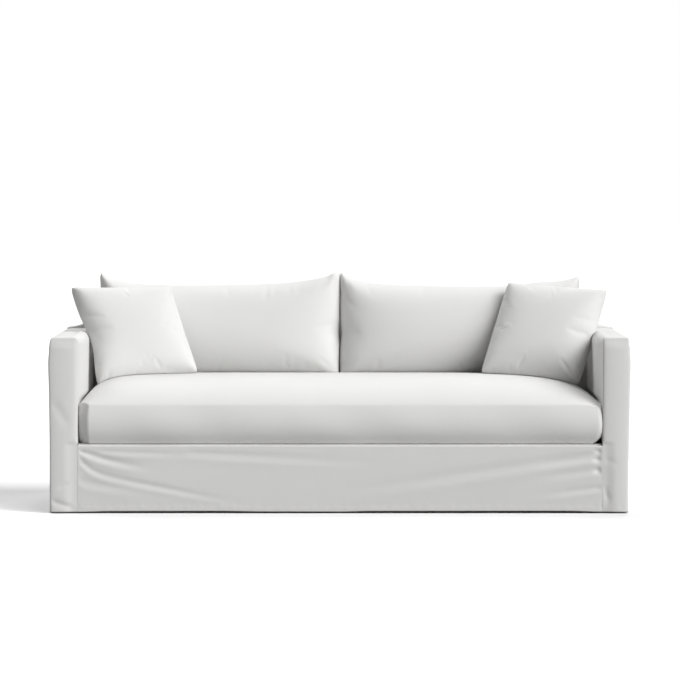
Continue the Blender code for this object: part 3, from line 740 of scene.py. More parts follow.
def outside_back():
    """The rear's plane, less its creases and the turns into its three seams."""
    x = grid_lines(-OUTER_X + SEAM_EDGE, OUTER_X - SEAM_EDGE, step=0.0105)[None, :]
    share = share_lines(RAIL_HEIGHT - SEAM_EDGE, step=0.0095, fine_start=False)[:, None]
    foot = swag((x + OUTER_X) / WIDTH)
    crest = rail_top(x)
    z = foot + (crest - SEAM_EDGE - foot) * share
    near_side = ease(INNER_X, OUTER_X, np.abs(x))
    side_swell = np.where(x < 0.0, seam_swell("left", z), seam_swell("right", z))
    wide = x + np.copysign(1.0, x) * near_side * side_swell
    from_side = OUTER_X - np.abs(x)
    from_top = crest - z
    seam = np.minimum(from_side, from_top)
    fade = ease(*BACK_CREASE_FADE, seam)
    y = REAR_Y - fade * crease_depth("outside_back", x, z) + hem_relief(z - foot, x, seed=6.0)
    y = y - turn_in(from_side, from_top)
    points, flat = stacked(wide, y, z), stacked(x, z)
    return cloth_sheet("outside_back_canvas", points, flat, seam, (0.0, 1.0, 0.0))


add_piece("seat_deck", seat_deck())
add_piece("inside_back", inside_back())
add_piece("outside_back", outside_back())

# %% [markdown]
# ## Closed skins
# A cushion is a closed skin. Both of its sides are grids over the same two parameters and share
# their border, so the second grid takes the first one's border points instead of its own, and the
# seam is closed from the start, with nothing to merge afterwards.

# %% Closing two grids along their border
def outline(grid):
    """The outermost entries of a grid, once round from its first corner."""
    return np.concatenate([grid[0, :], grid[1:, -1], grid[-1, -2::-1], grid[-2:0:-1, 0]])


def closed_skin(name, upper, lower, flat, seam, strip=None):
    """Joins two grids (rows, columns, 3) that share a border. With a strip (rings, border, 3)
    the lower grid's border is the strip's last ring instead, as on a boxed cushion."""
    rows, columns, _ = upper.shape
    number = np.arange(rows * columns).reshape(rows, columns)
    top_faces = grid_faces(rows, columns)
    ring = outline(number)
    points = [upper.reshape(-1, 3)]
    faces = [top_faces]
    flats = [flat.reshape(-1, 2)]
    seams = [seam.ravel()]
    count = rows * columns
    border = ring
    if strip is not None:
        along = np.cumsum(np.linalg.norm(strip[0] - np.roll(strip[0], 1, axis=0), axis=1))
        for line in strip[1:]:
            new = count + np.arange(len(ring))
            drop = np.linalg.norm(line - strip[0], axis=1)
            below = np.linalg.norm(line - strip[-1], axis=1)
            faces.append(np.stack([border, new, np.roll(new, -1), np.roll(border, -1)], axis=1))
            points.append(line)
            flats.append(np.stack([along, -drop], axis=1))
            seams.append(np.minimum(drop, below))
            count += len(ring)
            border = new
    lower_number = np.zeros((rows, columns), int)
    inner = np.zeros((rows, columns), bool)
    inner[1:-1, 1:-1] = True
    lower_number[inner] = count + np.arange(inner.sum())
    ring_rows, ring_columns = np.divmod(ring, columns)
    lower_number[ring_rows, ring_columns] = border
    points.append(lower[inner])
    flats.append(flat[inner])
    seams.append(seam[inner])
    faces.append(lower_number.ravel()[top_faces][:, ::-1])
    return build_mesh(name, *(np.concatenate(part) for part in (points, faces, flats, seams)))


def face_outwards(item):
    """Turns every face the other way if the skin encloses a negative volume. Returns what it
    encloses in cubic metres."""
    bm = bmesh.new()
    bm.from_mesh(item.data)
    if bm.calc_volume(signed=True) < 0.0:
        bmesh.ops.reverse_faces(bm, faces=bm.faces[:])
        bm.to_mesh(item.data)
    volume = abs(bm.calc_volume())
    bm.free()
    return volume


# %% [markdown]
# ## Seat cushion
# One long boxed cushion. Its top rises from each seam and levels out, which is a product of four
# terms, one for each side. The boxing strip is a profile carried round the cushion's outline: it
# bulges a little and tucks under at the bottom. The left front corner is worn to a slanted face.
# The right one is round, and the seam above it sags.

# %% Seat cushion
SEAT_LEFT = -0.9800
SEAT_RIGHT = 0.9800
SEAT_FRONT = -0.470
SEAT_REAR = 0.330
SEAT_SEAM_HEIGHT = 0.4020
SEAT_CROWN = 0.097
SEAT_SOFTNESS = {"left": 0.058, "right": 0.100, "front": 0.090, "rear": 0.080}
SEAT_BASE = DECK_HEIGHT + SEAM_GAP
SLANT_RUN = 0.060
SLANT_INSET = 0.040
SLANT_POWER = 1.5
ROUND_RUN = 0.018
ROUND_SHARE = 0.85
CORNER_DROOP = 0.012
DROOP_RUN = 0.030
CROWN_RUN = 0.020
CROWN_LEAD = 0.012
PUCKER_HEIGHT = 0.0007
PUCKER_REACH = 0.012
PUCKER_START = 0.004
SLACK_DEPTH = 0.0016
SLACK_RUN = (0.020, 0.150)
BOXING_BULGE = 0.0140
BULGE_WAVE = 0.30
BOXING_TUCK = {"left": 0.004, "right": 0.030, "front": 0.012, "rear": 0.014}
TUCK_REACH = 0.110
SIDE_TUCK_POWER = 7.0
TUCK_POWER = 6.0
SEAM_LIP = 0.0014


def from_sides(x, y):
    """How far a place is from each side of the seat cushion."""
    return {
        "left": x - SEAT_LEFT,
        "right": SEAT_RIGHT - x,
        "front": y - SEAT_FRONT,
        "rear": SEAT_REAR - y,
    }


def seat_crown(x, y):
    """Height of the top over the seam: the crown times one minus e to the minus distance over
    softness, once for each side."""
    rise = 1.0
    for name, distance in from_sides(x, y).items():
        rise = rise * (1.0 - np.exp(-np.clip(distance, 0.0, None) / SEAT_SOFTNESS[name]))
    return SEAT_CROWN * rise


def seat_top(x, y):
    """Height of the seat cushion's top, without its wrinkles."""
    return SEAT_SEAM_HEIGHT + seat_crown(x, y)


def corner_droop(x, y):
    """How far the seam sags at the right front corner: a bell of the distance from the corner."""
    return CORNER_DROOP * bell(np.hypot(x - SEAT_RIGHT, y - SEAT_FRONT) / DROOP_RUN)


def lip(distance):
    """How far cloth stands off its seam: a quarter circle that starts square to the cloth."""
    missing = np.clip(SEAM_LIP - distance, 0.0, SEAM_LIP)
    return np.sqrt(np.maximum(SEAM_LIP**2 - missing**2, 0.0))


def corner_cut(distance):
    """How far a round corner is cut back at this distance from its end: part of a quarter
    circle."""
    missing = np.clip(ROUND_RUN - distance, 0.0, ROUND_RUN)
    return ROUND_SHARE * (ROUND_RUN - np.sqrt(np.maximum(ROUND_RUN**2 - missing**2, 0.0)))


def tucked(x, y):
    """How far the base is drawn in from the seam above it: for each side its tuck, times e to
    the minus distance from that side over a reach, so that corners take both sides' tucks."""
    inwards = {
        name: BOXING_TUCK[name] * np.exp(-distance / TUCK_REACH)
        for name, distance in from_sides(x, y).items()
    }
    return inwards["left"] - inwards["right"], inwards["front"] - inwards["rear"]


def seat_cushion():
    """The grid's rows run from front to rear, and each row's ends follow the outline, whose
    front corners are cut back: slanted on the left, round on the right."""
    share = share_lines(SEAT_RIGHT - SEAT_LEFT, step=0.0090)[None, :]
    y = grid_lines(SEAT_FRONT, SEAT_REAR, step=0.0090)[:, None]
    from_front = y - SEAT_FRONT
    slant = SLANT_INSET * (1.0 - np.clip(from_front / SLANT_RUN, 0.0, 1.0)) ** SLANT_POWER
    rear_cut = corner_cut(SEAT_REAR - y)
    left = SEAT_LEFT + slant + rear_cut
    right = SEAT_RIGHT - corner_cut(from_front) - rear_cut
    x = left + (right - left) * share
    y = y + 0.0 * x
    edge = nearest(x - left, right - x, y - SEAT_FRONT, SEAT_REAR - y)
    pucker = PUCKER_HEIGHT * bell(edge / PUCKER_REACH) * ease(0.0, PUCKER_START, edge)
    pucker = pucker * ripple(x + y, pitch=0.047, seed=1.9)
    slack = SLACK_DEPTH * ease(*SLACK_RUN, edge)
    slack = slack * ripple(x, pitch=0.71, seed=0.8) * ripple(y, pitch=0.43, seed=2.3)
    z = SEAT_SEAM_HEIGHT + seat_crown(x, y) * ease(0.0, CROWN_RUN, edge + CROWN_LEAD)
    z = z + lip(edge) + pucker - np.abs(slack) - corner_droop(x, y)
    upper = stacked(x, y, z)
    ring = outline(upper)
    ahead = np.roll(ring, -1, axis=0) - np.roll(ring, 1, axis=0)
    outward = np.stack([ahead[:, 1], -ahead[:, 0]], axis=1)
    outward = outward / np.linalg.norm(outward, axis=1, keepdims=True)
    ring_x, ring_y = ring[:, 0], ring[:, 1]
    fall = grid_lines(0.0, SEAT_SEAM_HEIGHT - SEAT_BASE, step=0.0062)[:, None]
    down = fall / (SEAT_SEAM_HEIGHT - SEAT_BASE)
    wave = 1.0 + BULGE_WAVE * ripple(ring_x + ring_y, pitch=0.52, seed=3.1)
    belly = 4.0 * BOXING_BULGE * down * (1.0 - down) * wave + lip(fall)
    tuck_x, tuck_y = tucked(ring_x, ring_y)
    strip_x = ring_x + outward[:, 0] * belly + tuck_x * down**SIDE_TUCK_POWER
    strip_x = np.clip(strip_x, -INNER_X + 2.0 * SEAM_GAP, INNER_X - 2.0 * SEAM_GAP)
    strip_y = ring_y + outward[:, 1] * belly + tuck_y * down**TUCK_POWER
    strip_z = SEAT_SEAM_HEIGHT - fall - corner_droop(ring_x, ring_y) * (1.0 - down) ** 2
    strip = stacked(strip_x, strip_y, strip_z)
    strip[0] = ring
    tuck_x, tuck_y = tucked(x, y)
    lower = stacked(x + tuck_x, y + tuck_y, SEAT_BASE)
    return closed_skin("seat_cushion_cover", upper, lower, stacked(x, y), edge, strip=strip)


add_piece("seat_cushion", seat_cushion())
print(f"seat cushion holds {face_outwards(pieces['seat_cushion']) * LITRES:.0f} litres")

# %% [markdown]
# ## Knife-edge cushions
# Back cushions and throw pillows are two panels sewn edge to edge. Filled, the middle of each side
# rises and draws the edges in, while the corners keep their full length and stand out as ears.
# Each cushion is set by the four corners of its seam. Its outline is the four-sided patch between
# them, drawn in between the ears, and its two skins stand off that patch by a crown.

# %% Knife-edge cushions
Fullness = namedtuple("Fullness", "across_power across_root up_power up_root blend")
FULLNESS = {
    "back": Fullness(2.6, 0.50, 2.0, 0.56, 3.0),
    "throw": Fullness(2.4, 0.52, 2.4, 0.52, 4.0),
}
TIP_ROUNDING = {"back": 0.0050, "throw": 0.0030}
TIP_REACH = 0.014
KNIFE_CREASE_FADE = 0.012

Knife = namedtuple(
    "Knife",
    "name bottom_left bottom_right top_right top_left swell_front swell_back "
    "sag ear_left ear_right step",
)
KNIFE_CUSHIONS = (
    Knife(
        "back_cushion_left",
        (-0.940, 0.212, 0.468), (0.0030, 0.212, 0.468), (0.0030, 0.262, 0.882), (-0.944, 0.262, 0.884),
        0.124, 0.150, 0.055, 0.150, 0.300, 0.0088,
    ),
    Knife(
        "back_cushion_right",
        (-0.0030, 0.212, 0.468), (0.940, 0.212, 0.468), (0.942, 0.262, 0.868), (-0.0030, 0.262, 0.886),
        0.124, 0.150, 0.053, 0.140, 0.230, 0.0088,
    ),
    Knife(
        "throw_pillow_left",
        (-0.930, -0.100, 0.450), (-0.548, -0.020, 0.497), (-0.660, 0.146, 0.822), (-1.046, 0.066, 0.824),
        0.078, 0.032, 0.002, 0.300, 0.300, 0.0058,
    ),
    Knife(
        "throw_pillow_right",
        (0.543, -0.022, 0.494), (0.916, -0.126, 0.460), (1.036, 0.041, 0.814), (0.656, 0.158, 0.840),
        0.078, 0.032, 0.002, 0.300, 0.300, 0.0058,
    ),
)

# How far a side is drawn in from a straight line: most at its centre (-1 is the bottom or the
# left end of the side, 1 the other end), less away from it.
Draw = namedtuple("Draw", "cushion side centre reach inwards")
DRAWS = (
    Draw("back_cushion_left", "right", -0.16, 0.20, 0.0080),
    Draw("back_cushion_left", "left", 0.00, 0.60, 0.0100),
    Draw("back_cushion_left", "top", 0.94, 0.03, -0.0150),
    Draw("back_cushion_right", "left", -0.18, 0.20, 0.0080),
    Draw("back_cushion_right", "right", 0.00, 0.60, 0.0100),
    Draw("back_cushion_right", "top", 0.66, 0.20, -0.0110),
    Draw("throw_pillow_left", "left", -0.15, 0.48, 0.0210),
    Draw("throw_pillow_left", "right", 0.10, 0.60, 0.0020),
    Draw("throw_pillow_right", "right", 0.00, 0.60, -0.0050),
)
DRAW_FADE = 8
CONTACT_PLACE = 0.240
CONTACT_SLANT = 0.12
CLEAR_OF_SEAT = 0.0010
CLEAR_OF_ARM = 0.0022
CLEAR_OVER_ARM = 0.0050


def kind_of(name):
    """The kind of a cushion is its name's first word: back or throw."""
    return name.split("_")[0]


def ear(u, left, right):
    """1 at both ends of a side and near 0 between them: e to the minus distance over reach."""
    return np.clip(np.exp(-(1.0 + u) / left) + np.exp(-(1.0 - u) / right), 0.0, 1.0)


def drawn(cushion, side, along):
    """Sum of the bells that draw one side in, each faded out at the side's ends."""
    rows = [d for d in DRAWS if d.cushion == cushion and d.side == side]
    total = sum(d.inwards * bell((along - d.centre) / d.reach) for d in rows)
    return total * (1.0 - along**DRAW_FADE) if rows else 0.0 * along


def patch(bottom_left, bottom_right, top_right, top_left, s, t):
    """The four-sided patch: blends along the bottom and the top, then between the two."""
    low = bottom_left + (bottom_right - bottom_left) * s[..., None]
    high = top_left + (top_right - top_left) * s[..., None]
    return low + (high - low) * t[..., None]


def bulge(place, power, root):
    """Fullness across a cushion: 1 in its middle and 0 at both of its edges."""
    return (1.0 - np.abs(place) ** power) ** root


def knife_skins(knife):
    """Front and back skins of one cushion, its flat cloth and its distances to the seam. Both
    skins stand off the patch by the crown: the smaller of a profile across and one up, blended
    softly, so that a ridge runs into every corner."""
    corners = np.array([knife.bottom_left, knife.bottom_right, knife.top_right, knife.top_left])
    bottom_left, bottom_right, top_right, top_left = corners
    wide = (bottom_right + top_right - bottom_left - top_left) / 2.0
    tall = (top_left + top_right - bottom_left - bottom_right) / 2.0
    width, height = np.linalg.norm(wide), np.linalg.norm(tall)
    back = np.cross(tall, wide)
    back = back / np.linalg.norm(back)
    back = back if back[1] > 0.0 else -back
    u = 2.0 * grid_lines(0.0, width, knife.step)[None, :] / width - 1.0
    v = 2.0 * grid_lines(0.0, height, knife.step)[:, None] / height - 1.0
    u, v = np.broadcast_arrays(u, v)
    upper_sag = knife.sag * (1.0 - ear(u, knife.ear_left, knife.ear_right))
    upper_sag = (upper_sag + drawn(knife.name, "top", u)) * (1.0 + v) / 2.0
    to_left = drawn(knife.name, "left", v) * (1.0 - u) / 2.0
    to_right = drawn(knife.name, "right", v) * (1.0 + u) / 2.0
    gap_x = (1.0 - np.abs(u)) * width / 2.0
    gap_y = (1.0 - np.abs(v)) * height / 2.0
    kind = kind_of(knife.name)
    tip = TIP_ROUNDING[kind] * bell(np.hypot(gap_x, gap_y) / TIP_REACH)
    s = (1.0 + u) / 2.0 + (to_left - to_right - np.sign(u) * tip) / width
    t = (1.0 + v) / 2.0 - (upper_sag + np.sign(v) * tip) / height
    base = patch(*corners, s, t)
    full = FULLNESS[kind]
    across = bulge(u, full.across_power, full.across_root)
    up = bulge(v, full.up_power, full.up_root)
    either = np.maximum(across, TINY) ** -full.blend + np.maximum(up, TINY) ** -full.blend
    crown = 2.0 ** (1.0 / full.blend) * either ** (-1.0 / full.blend)
    crown = np.where(np.minimum(across, up) > 0.0, crown, 0.0)
    edge = np.minimum(gap_x, gap_y)
    flat = stacked((1.0 + u) * width / 2.0, (1.0 + v) * height / 2.0)
    creases = crease_depth(knife.name, flat[..., 0], flat[..., 1])
    creases = creases * ease(0.0, KNIFE_CREASE_FADE, edge)
    front = base - back * (knife.swell_front * crown - creases)[..., None]
    behind = base + back * (knife.swell_back * crown)[..., None]
    return front, behind, flat, edge


def rest_on(points, name):
    """Keeps a skin above the seat's top, in front of the back, on its own side of the plane
    where the two back cushions press together, and clear of the arms: it is flat where it
    rests."""
    x, y, z = points.T
    over_seat = (y > SEAT_FRONT) & (y < SEAT_REAR)
    z = np.where(over_seat, np.maximum(z, seat_top(x, y) + SEAM_LIP + CLEAR_OF_SEAT), z)
    y = np.minimum(y, RAIL_FACE_Y - 2.0 * SEAM_GAP)
    contact = CONTACT_SLANT * (y - CONTACT_PLACE)
    if name == "back_cushion_left":
        x = np.minimum(x, contact - SEAM_GAP)
    elif name == "back_cushion_right":
        x = np.maximum(x, contact + SEAM_GAP)
    else:
        arm_top = ARM_HEIGHT + CLEAR_OVER_ARM
        below_top = np.clip((arm_top - z) / ARM_CORNER_BEHIND, 0.0, 1.0)
        lean = np.sqrt(1.0 - (1.0 - below_top) ** 2)
        face = INNER_X + ARM_CORNER_BEHIND * (1.0 - lean) - ARM_PADDING * lean - CLEAR_OF_ARM
        x = np.where(z < arm_top, np.clip(x, -face, face), x)
    return stacked(x, y, z)


SIMULATED_FRAMES = 20
CLOTH_SETTINGS = {
    "quality": 6,
    "tension_stiffness": 12.0,
    "compression_stiffness": 6.0,
    "shear_stiffness": 4.0,
    "use_pressure": True,
    "uniform_pressure_force": 4.0,
    "vertex_group_mass": "seam",
}
CLOTH_EASE = {"back": 0.002, "throw": 0.003}
BENDING = {"back": 0.6, "throw": 2.0}
REACH_FRONT = {"back": 0.024, "throw": 0.022}
REACH_BEHIND = 0.004


def places(mesh):
    """The points of a mesh, one row each."""
    points = np.zeros(len(mesh.vertices) * 3)
    mesh.vertices.foreach_get("co", points)
    return points.reshape(-1, 3)


def inflate(item, kind, front_count):
    """Blows the cushion up as cloth that is held at its seam and cut a little too large, so that
    it wrinkles. The front may move by one reach and the back by a smaller one."""
    points = places(item.data)
    seam = np.zeros(len(points))
    item.data.attributes["seam_distance"].data.foreach_get("value", seam)
    held = item.vertex_groups.new(name="seam")
    held.add([int(k) for k in np.flatnonzero(seam < TINY)], 1.0, "REPLACE")
    cloth = item.modifiers.new("inflate", "CLOTH")
    settings = cloth.settings
    for key, value in CLOTH_SETTINGS.items():
        setattr(settings, key, value)
    settings.bending_stiffness = BENDING[kind]
    settings.shrink_min = -CLOTH_EASE[kind]
    settings.effector_weights.gravity = 0.0
    cloth.collision_settings.use_collision = False
    cloth.point_cache.frame_start = 1
    cloth.point_cache.frame_end = SIMULATED_FRAMES
    for frame in range(1, SIMULATED_FRAMES + 1):
        bpy.context.scene.frame_set(frame)
    move = places(item.evaluated_get(bpy.context.evaluated_depsgraph_get()).data) - points
    item.modifiers.remove(cloth)
    item.vertex_groups.remove(held)
    bpy.context.scene.frame_set(1)
    reach = np.where(np.arange(len(points)) < front_count, REACH_FRONT[kind], REACH_BEHIND)
    length = np.linalg.norm(move, axis=1)
    share = np.where(length > reach, reach / np.maximum(length, TINY), 1.0)
    print(f"{item.name}: cloth moved by up to {length.max() * MILLIMETRES:.1f} mm")
    return points + move * share[:, None]


# Pressure pushes along the faces, so they look outwards before a cushion is blown up.
for knife in KNIFE_CUSHIONS:
    front, behind, flat, edge = knife_skins(knife)
    item = closed_skin(f"{knife.name}_cover", front, behind, flat, edge)
    face_outwards(item)
    points = rest_on(inflate(item, kind_of(knife.name), edge.size), knife.name)
    item.data.vertices.foreach_set("co", points.ravel())
    finer = item.modifiers.new("finer", "SUBSURF")
    finer.levels = 1
    finer.render_levels = 1
    add_piece(knife.name, item)
    print(f"{knife.name} holds {face_outwards(item) * LITRES:.0f} litres")

# %% [markdown]
# ## Canvas
# The cloth is a plain-weave cotton canvas. A picture of cloth would fix its scale, so the weave is
# worked out instead: warp and weft threads are two rows of rounded ridges that pass over each
# other in turn, with slubs, which are places where a yarn is thicker. The group reads the flat
# cloth's own metres, so the threads follow every fold, and puts out only a height and a shade.

# %% Weave group
THREAD_ROUNDING = 3.6
THREAD_LIFT = (0.28, 0.62)
SLUB_STRETCHES = ((9.0, 620.0, 1.0), (480.0, 7.0, 1.0))


def feed(tree, socket, value):
    """Links another node's output to an input socket, or sets the socket's own value."""
    if isinstance(value, bpy.types.NodeSocket):
        tree.links.new(value, socket)
    else:
        socket.default_value = value


def add_node(tree, kind, place, inputs=None, **values):
    """A node with its properties set and its named input sockets fed."""
    node = tree.nodes.new(kind)
    node.location = place
    for key, value in values.items():
        setattr(node, key, value)
    for key, value in (inputs or {}).items():
        feed(tree, node.inputs[key], value)
    return node


def calculate(tree, operation, place, *operands):
    """A Math node on sockets or numbers."""
    node = add_node(tree, "ShaderNodeMath", place, operation=operation)
    for socket, value in zip(node.inputs, operands):
        feed(tree, socket, value)
    return node.outputs[0]


def new_group(name, inputs, outputs):
    """A shader node group with named float or vector sockets, and its two end nodes."""
    tree = bpy.data.node_groups.new(name, "ShaderNodeTree")
    for label, kind, value in inputs:
        socket = tree.interface.new_socket(name=label, in_out="INPUT", socket_type=kind)
        if value is not None:
            socket.default_value = value
    for label, kind in outputs:
        tree.interface.new_socket(name=label, in_out="OUTPUT", socket_type=kind)
    start = add_node(tree, "NodeGroupInput", (-1200, 0))
    end = add_node(tree, "NodeGroupOutput", (1000, 0))
    return tree, start.outputs, end.inputs


def canvas_weave():
    """Height is the higher of the two threads: each is a half-round across itself, and rises
    and falls along itself once in two crossings, out of step with its neighbours."""
    tree, given, out = new_group(
        "canvas_weave",
        [
            ("Cloth", "NodeSocketVector", None),
            ("Thread", "NodeSocketFloat", 0.0009),
            ("Slub", "NodeSocketFloat", 0.5),
        ],
        [("Height", "NodeSocketFloat"), ("Shade", "NodeSocketFloat")],
    )
    split = add_node(tree, "ShaderNodeSeparateXYZ", (-1000, 0), {"Vector": given["Cloth"]})
    across = calculate(tree, "DIVIDE", (-800, 150), split.outputs[0], given["Thread"])
    along = calculate(tree, "DIVIDE", (-800, -150), split.outputs[1], given["Thread"])
    heights = []
    for place, one, other, lag in ((200, across, along, 0.0), (-200, along, across, math.pi)):
        share = calculate(tree, "FRACT", (-600, place), one)
        middle = calculate(tree, "SUBTRACT", (-450, place), share, 0.5)
        square = calculate(tree, "MULTIPLY", (-300, place), middle, middle)
        rounding = calculate(tree, "MULTIPLY_ADD", (-150, place), square, -THREAD_ROUNDING, 1.0)
        number = calculate(tree, "FLOOR", (-600, place - 120), one)
        step = calculate(tree, "ADD", (-450, place - 120), number, other)
        turn = calculate(tree, "MULTIPLY_ADD", (-300, place - 120), step, math.pi, lag)
        wave = calculate(tree, "COSINE", (-150, place - 120), turn)
        lift = calculate(tree, "MULTIPLY_ADD", (0, place - 120), wave, *THREAD_LIFT)
        heights.append(calculate(tree, "MULTIPLY", (150, place), rounding, lift))
    weave = calculate(tree, "MAXIMUM", (320, 0), heights[0], heights[1])
    slubs = []
    for place, stretch in zip((-450, -650), SLUB_STRETCHES):
        turned = {"Vector": given["Cloth"], "Scale": stretch}
        mapping = add_node(tree, "ShaderNodeMapping", (-450, place), turned)
        grain = {"Vector": mapping.outputs[0], "Scale": 1.0, "Detail": 2.0}
        slubs.append(add_node(tree, "ShaderNodeTexNoise", (-250, place), grain).outputs[0])
    both = calculate(tree, "ADD", (0, -500), slubs[0], slubs[1])
    centred = calculate(tree, "SUBTRACT", (150, -500), both, 1.0)
    slub = calculate(tree, "MULTIPLY", (320, -500), centred, given["Slub"])
    height = calculate(tree, "ADD", (500, 0), weave, slub)
    tree.links.new(height, out["Height"])
    shade = calculate(tree, "MULTIPLY_ADD", (500, -300), slub, 0.5, 0.5)
    tree.links.new(shade, out["Shade"])
    return tree


weave_group = canvas_weave()
print("weave group sockets:", [s.name for s in weave_group.interface.items_tree])

# %% [markdown]
# ## Seams and long variation
# Beside every seam the needle pulls the cloth down stitch by stitch, and white canvas is never one
# even white: it is a trace warmer where it was pressed and handled. The second group turns the
# distance to the seam into a fine puckered groove, and a slow noise into a shade. The canvas also
# darkens its colour along that groove, which is painted shade for the seam's shadow.

# %% Seam group
STITCH_LENGTH = 0.0034
STITCH_PULL = (0.30, 0.70)


def seam_marks():
    """Groove: a bell on the distance to the seam, times waves along the cloth, a stitch apart.
    Patina: slow noise in the object's own metres."""
    tree, given, out = new_group(
        "seam_marks",
        [
            ("Cloth", "NodeSocketVector", None),
            ("Place", "NodeSocketVector", None),
            ("Distance", "NodeSocketFloat", 1.0),
            ("Reach", "NodeSocketFloat", 0.004),
        ],
        [("Groove", "NodeSocketFloat"), ("Patina", "NodeSocketFloat")],
    )
    ratio = calculate(tree, "DIVIDE", (-800, 200), given["Distance"], given["Reach"])
    square = calculate(tree, "MULTIPLY", (-650, 200), ratio, ratio)
    minus = calculate(tree, "MULTIPLY", (-500, 200), square, -1.0)
    groove = calculate(tree, "EXPONENT", (-350, 200), minus)
    split = add_node(tree, "ShaderNodeSeparateXYZ", (-800, 0), {"Vector": given["Cloth"]})
    along = calculate(tree, "ADD", (-650, 0), split.outputs[0], split.outputs[1])
    turn = calculate(tree, "MULTIPLY", (-500, 0), along, 2.0 * math.pi / STITCH_LENGTH)
    wave = calculate(tree, "SINE", (-350, 0), turn)
    stitches = calculate(tree, "MULTIPLY_ADD", (-200, 0), wave, *STITCH_PULL)
    marked = calculate(tree, "MULTIPLY", (0, 100), groove, stitches)
    tree.links.new(marked, out["Groove"])
    slow = {"Vector": given["Place"], "Scale": 4.5, "Detail": 3.0}
    noise = add_node(tree, "ShaderNodeTexNoise", (-350, -250), slow)
    tree.links.new(noise.outputs[0], out["Patina"])
    return tree


seam_group = seam_marks()
print("seam group sockets:", [s.name for s in seam_group.interface.items_tree])

# %% [markdown]
# ## The two canvases
# The body cover and the cushions are cut from one kind of cloth. The cushions' canvas is a little
# finer. Cotton is rough and hardly shines, but its loose fibres catch light at a low angle, which
# the shader's sheen does.

# %% Canvas materials
CANVAS_WHITE = (0.720, 0.719, 0.711, 1.0)
# The darker canvas that patina and slubs mix towards; the seam groove also mixes towards it, as painted
# shade.
CANVAS_SHADE = (0.645, 0.643, 0.631, 1.0)
GROOVE_REACH = 0.0035
GROOVE_DEPTH = 1.2
# The groove's share is painted shade beside the seams; the patina's and the weave's shares are the
# cloth's own tone.
SHADE_SHARES = {"patina": 0.55, "groove": 0.35, "weave": 0.45}
ROUGHNESS = (-0.10, 0.94)
BUMP_STRENGTH = 0.6
COTTON = {
    "Metallic": 0.0,
    "Specular IOR Level": 0.25,
    "Sheen Weight": 0.12,
    "Sheen Roughness": 0.5,
}


def canvas(name, thread, slub, relief):
    """Principled cloth: weave and seam groove as bump; slub shade, patina and painted seam shade as
    colour.
    """
    material = bpy.data.materials.new(name)
    material.use_nodes = True
    tree = material.node_tree
    shader = tree.nodes["Principled BSDF"]
    shader.location = (900, 0)
    cloth = add_node(tree, "ShaderNodeUVMap", (-900, 200), uv_map="cloth")
    place = add_node(tree, "ShaderNodeTexCoord", (-900, -100))
    near = add_node(tree, "ShaderNodeAttribute", (-900, -400), attribute_name="seam_distance")
    woven = {"Cloth": cloth.outputs["UV"], "Thread": thread, "Slub": slub}
    weave = add_node(tree, "ShaderNodeGroup", (-500, 200), woven, node_tree=weave_group)
    sewn = {
        "Cloth": cloth.outputs["UV"],
        "Place": place.outputs["Object"],
        "Distance": near.outputs["Fac"],
        "Reach": GROOVE_REACH,
    }
    marks = add_node(tree, "ShaderNodeGroup", (-500, -200), sewn, node_tree=seam_group)
    height, groove = weave.outputs["Height"], marks.outputs["Groove"]
    share = SHADE_SHARES
    patina = calculate(tree, "MULTIPLY", (-250, -250), marks.outputs["Patina"], share["patina"])
    # The seam groove darkens the colour: painted shade in the seam.
    painted_seam_shade = calculate(tree, "MULTIPLY", (-250, -100), groove, share["groove"])
    patina_and_painted_seam_shade = calculate(tree, "ADD", (-100, -150), patina, painted_seam_shade)
    shade = calculate(tree, "MULTIPLY", (-250, 100), weave.outputs["Shade"], share["weave"])
    total = calculate(tree, "ADD", (50, 0), patina_and_painted_seam_shade, shade)
    whites = {"A": CANVAS_WHITE, "B": CANVAS_SHADE, "Factor": total}
    mix = add_node(tree, "ShaderNodeMix", (250, 100), whites, data_type="RGBA")
    tree.links.new(mix.outputs["Result"], shader.inputs["Base Color"])
    rough = calculate(tree, "MULTIPLY_ADD", (250, -150), height, *ROUGHNESS)
    tree.links.new(rough, shader.inputs["Roughness"])
    sunk = calculate(tree, "MULTIPLY_ADD", (100, -350), groove, -GROOVE_DEPTH, height)
    raised = {"Strength": BUMP_STRENGTH, "Distance": relief, "Height": sunk}
    bump = add_node(tree, "ShaderNodeBump", (500, -350), raised)
    tree.links.new(bump.outputs["Normal"], shader.inputs["Normal"])
    for key, value in COTTON.items():
        shader.inputs[key].default_value = value
    return material


cover_canvas = canvas("cover_canvas", thread=0.00095, slub=0.55, relief=0.00022)
cushion_canvas = canvas("cushion_canvas", thread=0.00085, slub=0.50, relief=0.00018)
CUSHIONS = ("seat_cushion",) + tuple(knife.name for knife in KNIFE_CUSHIONS)
for name, piece in pieces.items():
    soft = name in CUSHIONS
    piece.data.materials.append(cushion_canvas if soft else cover_canvas)
    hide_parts(name)
    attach(piece, "root")
print(f"{len(pieces)} pieces dressed in two canvases")

# %% [markdown]
# ## Piece count

# %% Piece count
print("10 sheets and 5 cushions")

# %% [markdown]
# ## Studio
# A plain floor a few millimetres under the hem, seen as white against a white surround. It throws
# less light back than it shows, so that the cover's lower parts aren't lit from below. Seven broad
# soft suns light the cover: the strongest high on the right, weaker ones low in front, on the left
# and behind. Suns keep the floor evenly white as far as it goes, where an area lamp would fade.

# %% Floor, lights and view
FLOOR_HEIGHT = -0.0040
FLOOR_SIZE = 160.0
FLOOR_WHITE = (0.95, 0.95, 0.95, 1.0)
FLOOR_BOUNCE = (0.31, 0.31, 0.31, 1.0)
SURROUND_WHITE = (1.0, 1.0, 1.0, 1.0)
SURROUND_LIGHT = 0.01
LAMP_SPREAD = math.radians(35.0)


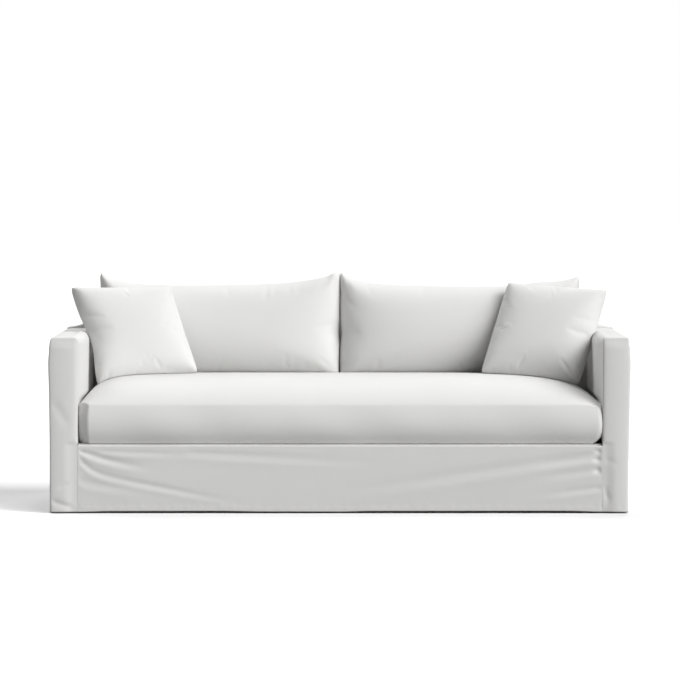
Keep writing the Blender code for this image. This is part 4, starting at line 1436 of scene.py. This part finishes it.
def seen_apart(tree, lit, seen, surface):
    """Lets the camera see one shader while everything else is lit by the other."""
    ray = add_node(tree, "ShaderNodeLightPath", (-200, 400))
    choice = add_node(tree, "ShaderNodeMixShader", (600, 200))
    tree.links.new(ray.outputs["Is Camera Ray"], choice.inputs[0])
    tree.links.new(lit.outputs[0], choice.inputs[1])
    tree.links.new(seen.outputs[0], choice.inputs[2])
    tree.links.new(choice.outputs[0], surface)


bpy.ops.mesh.primitive_plane_add(size=FLOOR_SIZE, location=(0.0, 0.0, FLOOR_HEIGHT))
floor = bpy.context.object
floor.name = "studio_floor"
floor_paint = bpy.data.materials.new("studio_floor")
floor_paint.use_nodes = True
floor_tree = floor_paint.node_tree
floor_shader = floor_tree.nodes["Principled BSDF"]
floor_shader.inputs["Base Color"].default_value = FLOOR_WHITE
floor_shader.inputs["Roughness"].default_value = 1.0
floor_shader.inputs["Specular IOR Level"].default_value = 0.0
dull = add_node(floor_tree, "ShaderNodeBsdfDiffuse", (-200, 0), {"Color": FLOOR_BOUNCE})
seen_apart(floor_tree, dull, floor_shader, floor_tree.nodes["Material Output"].inputs["Surface"])
floor.data.materials.append(floor_paint)

Lamp = namedtuple("Lamp", "name towards strength")
LAMPS = (
    Lamp("right_high", (0.624, -0.332, 0.707), 2.15),
    Lamp("front_low", (0.470, -0.814, 0.342), 0.98),
    Lamp("right_low", (0.720, -0.604, 0.342), 0.80),
    Lamp("left_high", (-0.612, -0.354, 0.707), 0.26),
    Lamp("behind_left", (-0.542, 0.455, 0.707), 1.12),
    Lamp("behind", (0.000, 0.766, 0.643), 0.96),
    Lamp("behind_high", (0.000, 0.423, 0.906), 0.34),
)
for lamp in LAMPS:
    data = bpy.data.lights.new(lamp.name, "SUN")
    data.energy = lamp.strength
    data.angle = LAMP_SPREAD
    light = bpy.data.objects.new(lamp.name, data)
    light.rotation_euler = Vector(lamp.towards).to_track_quat("Z", "Y").to_euler()
    bpy.context.scene.collection.objects.link(light)

world = bpy.data.worlds.new("studio")
world.use_nodes = True
bpy.context.scene.world = world
surround = world.node_tree
ambient = surround.nodes["Background"]
ambient.inputs["Color"].default_value = SURROUND_WHITE
ambient.inputs["Strength"].default_value = SURROUND_LIGHT
backdrop = add_node(surround, "ShaderNodeBackground", (-200, 0), {"Color": SURROUND_WHITE})
seen_apart(surround, ambient, backdrop, surround.nodes["World Output"].inputs["Surface"])
bpy.context.scene.view_settings.view_transform = "Standard"
print(f"{len(LAMPS)} soft lamps over a white floor")

# %% [markdown]
# ## Finish
# The view layer is brought up to date.

# %% Finish
bpy.context.view_layer.update()
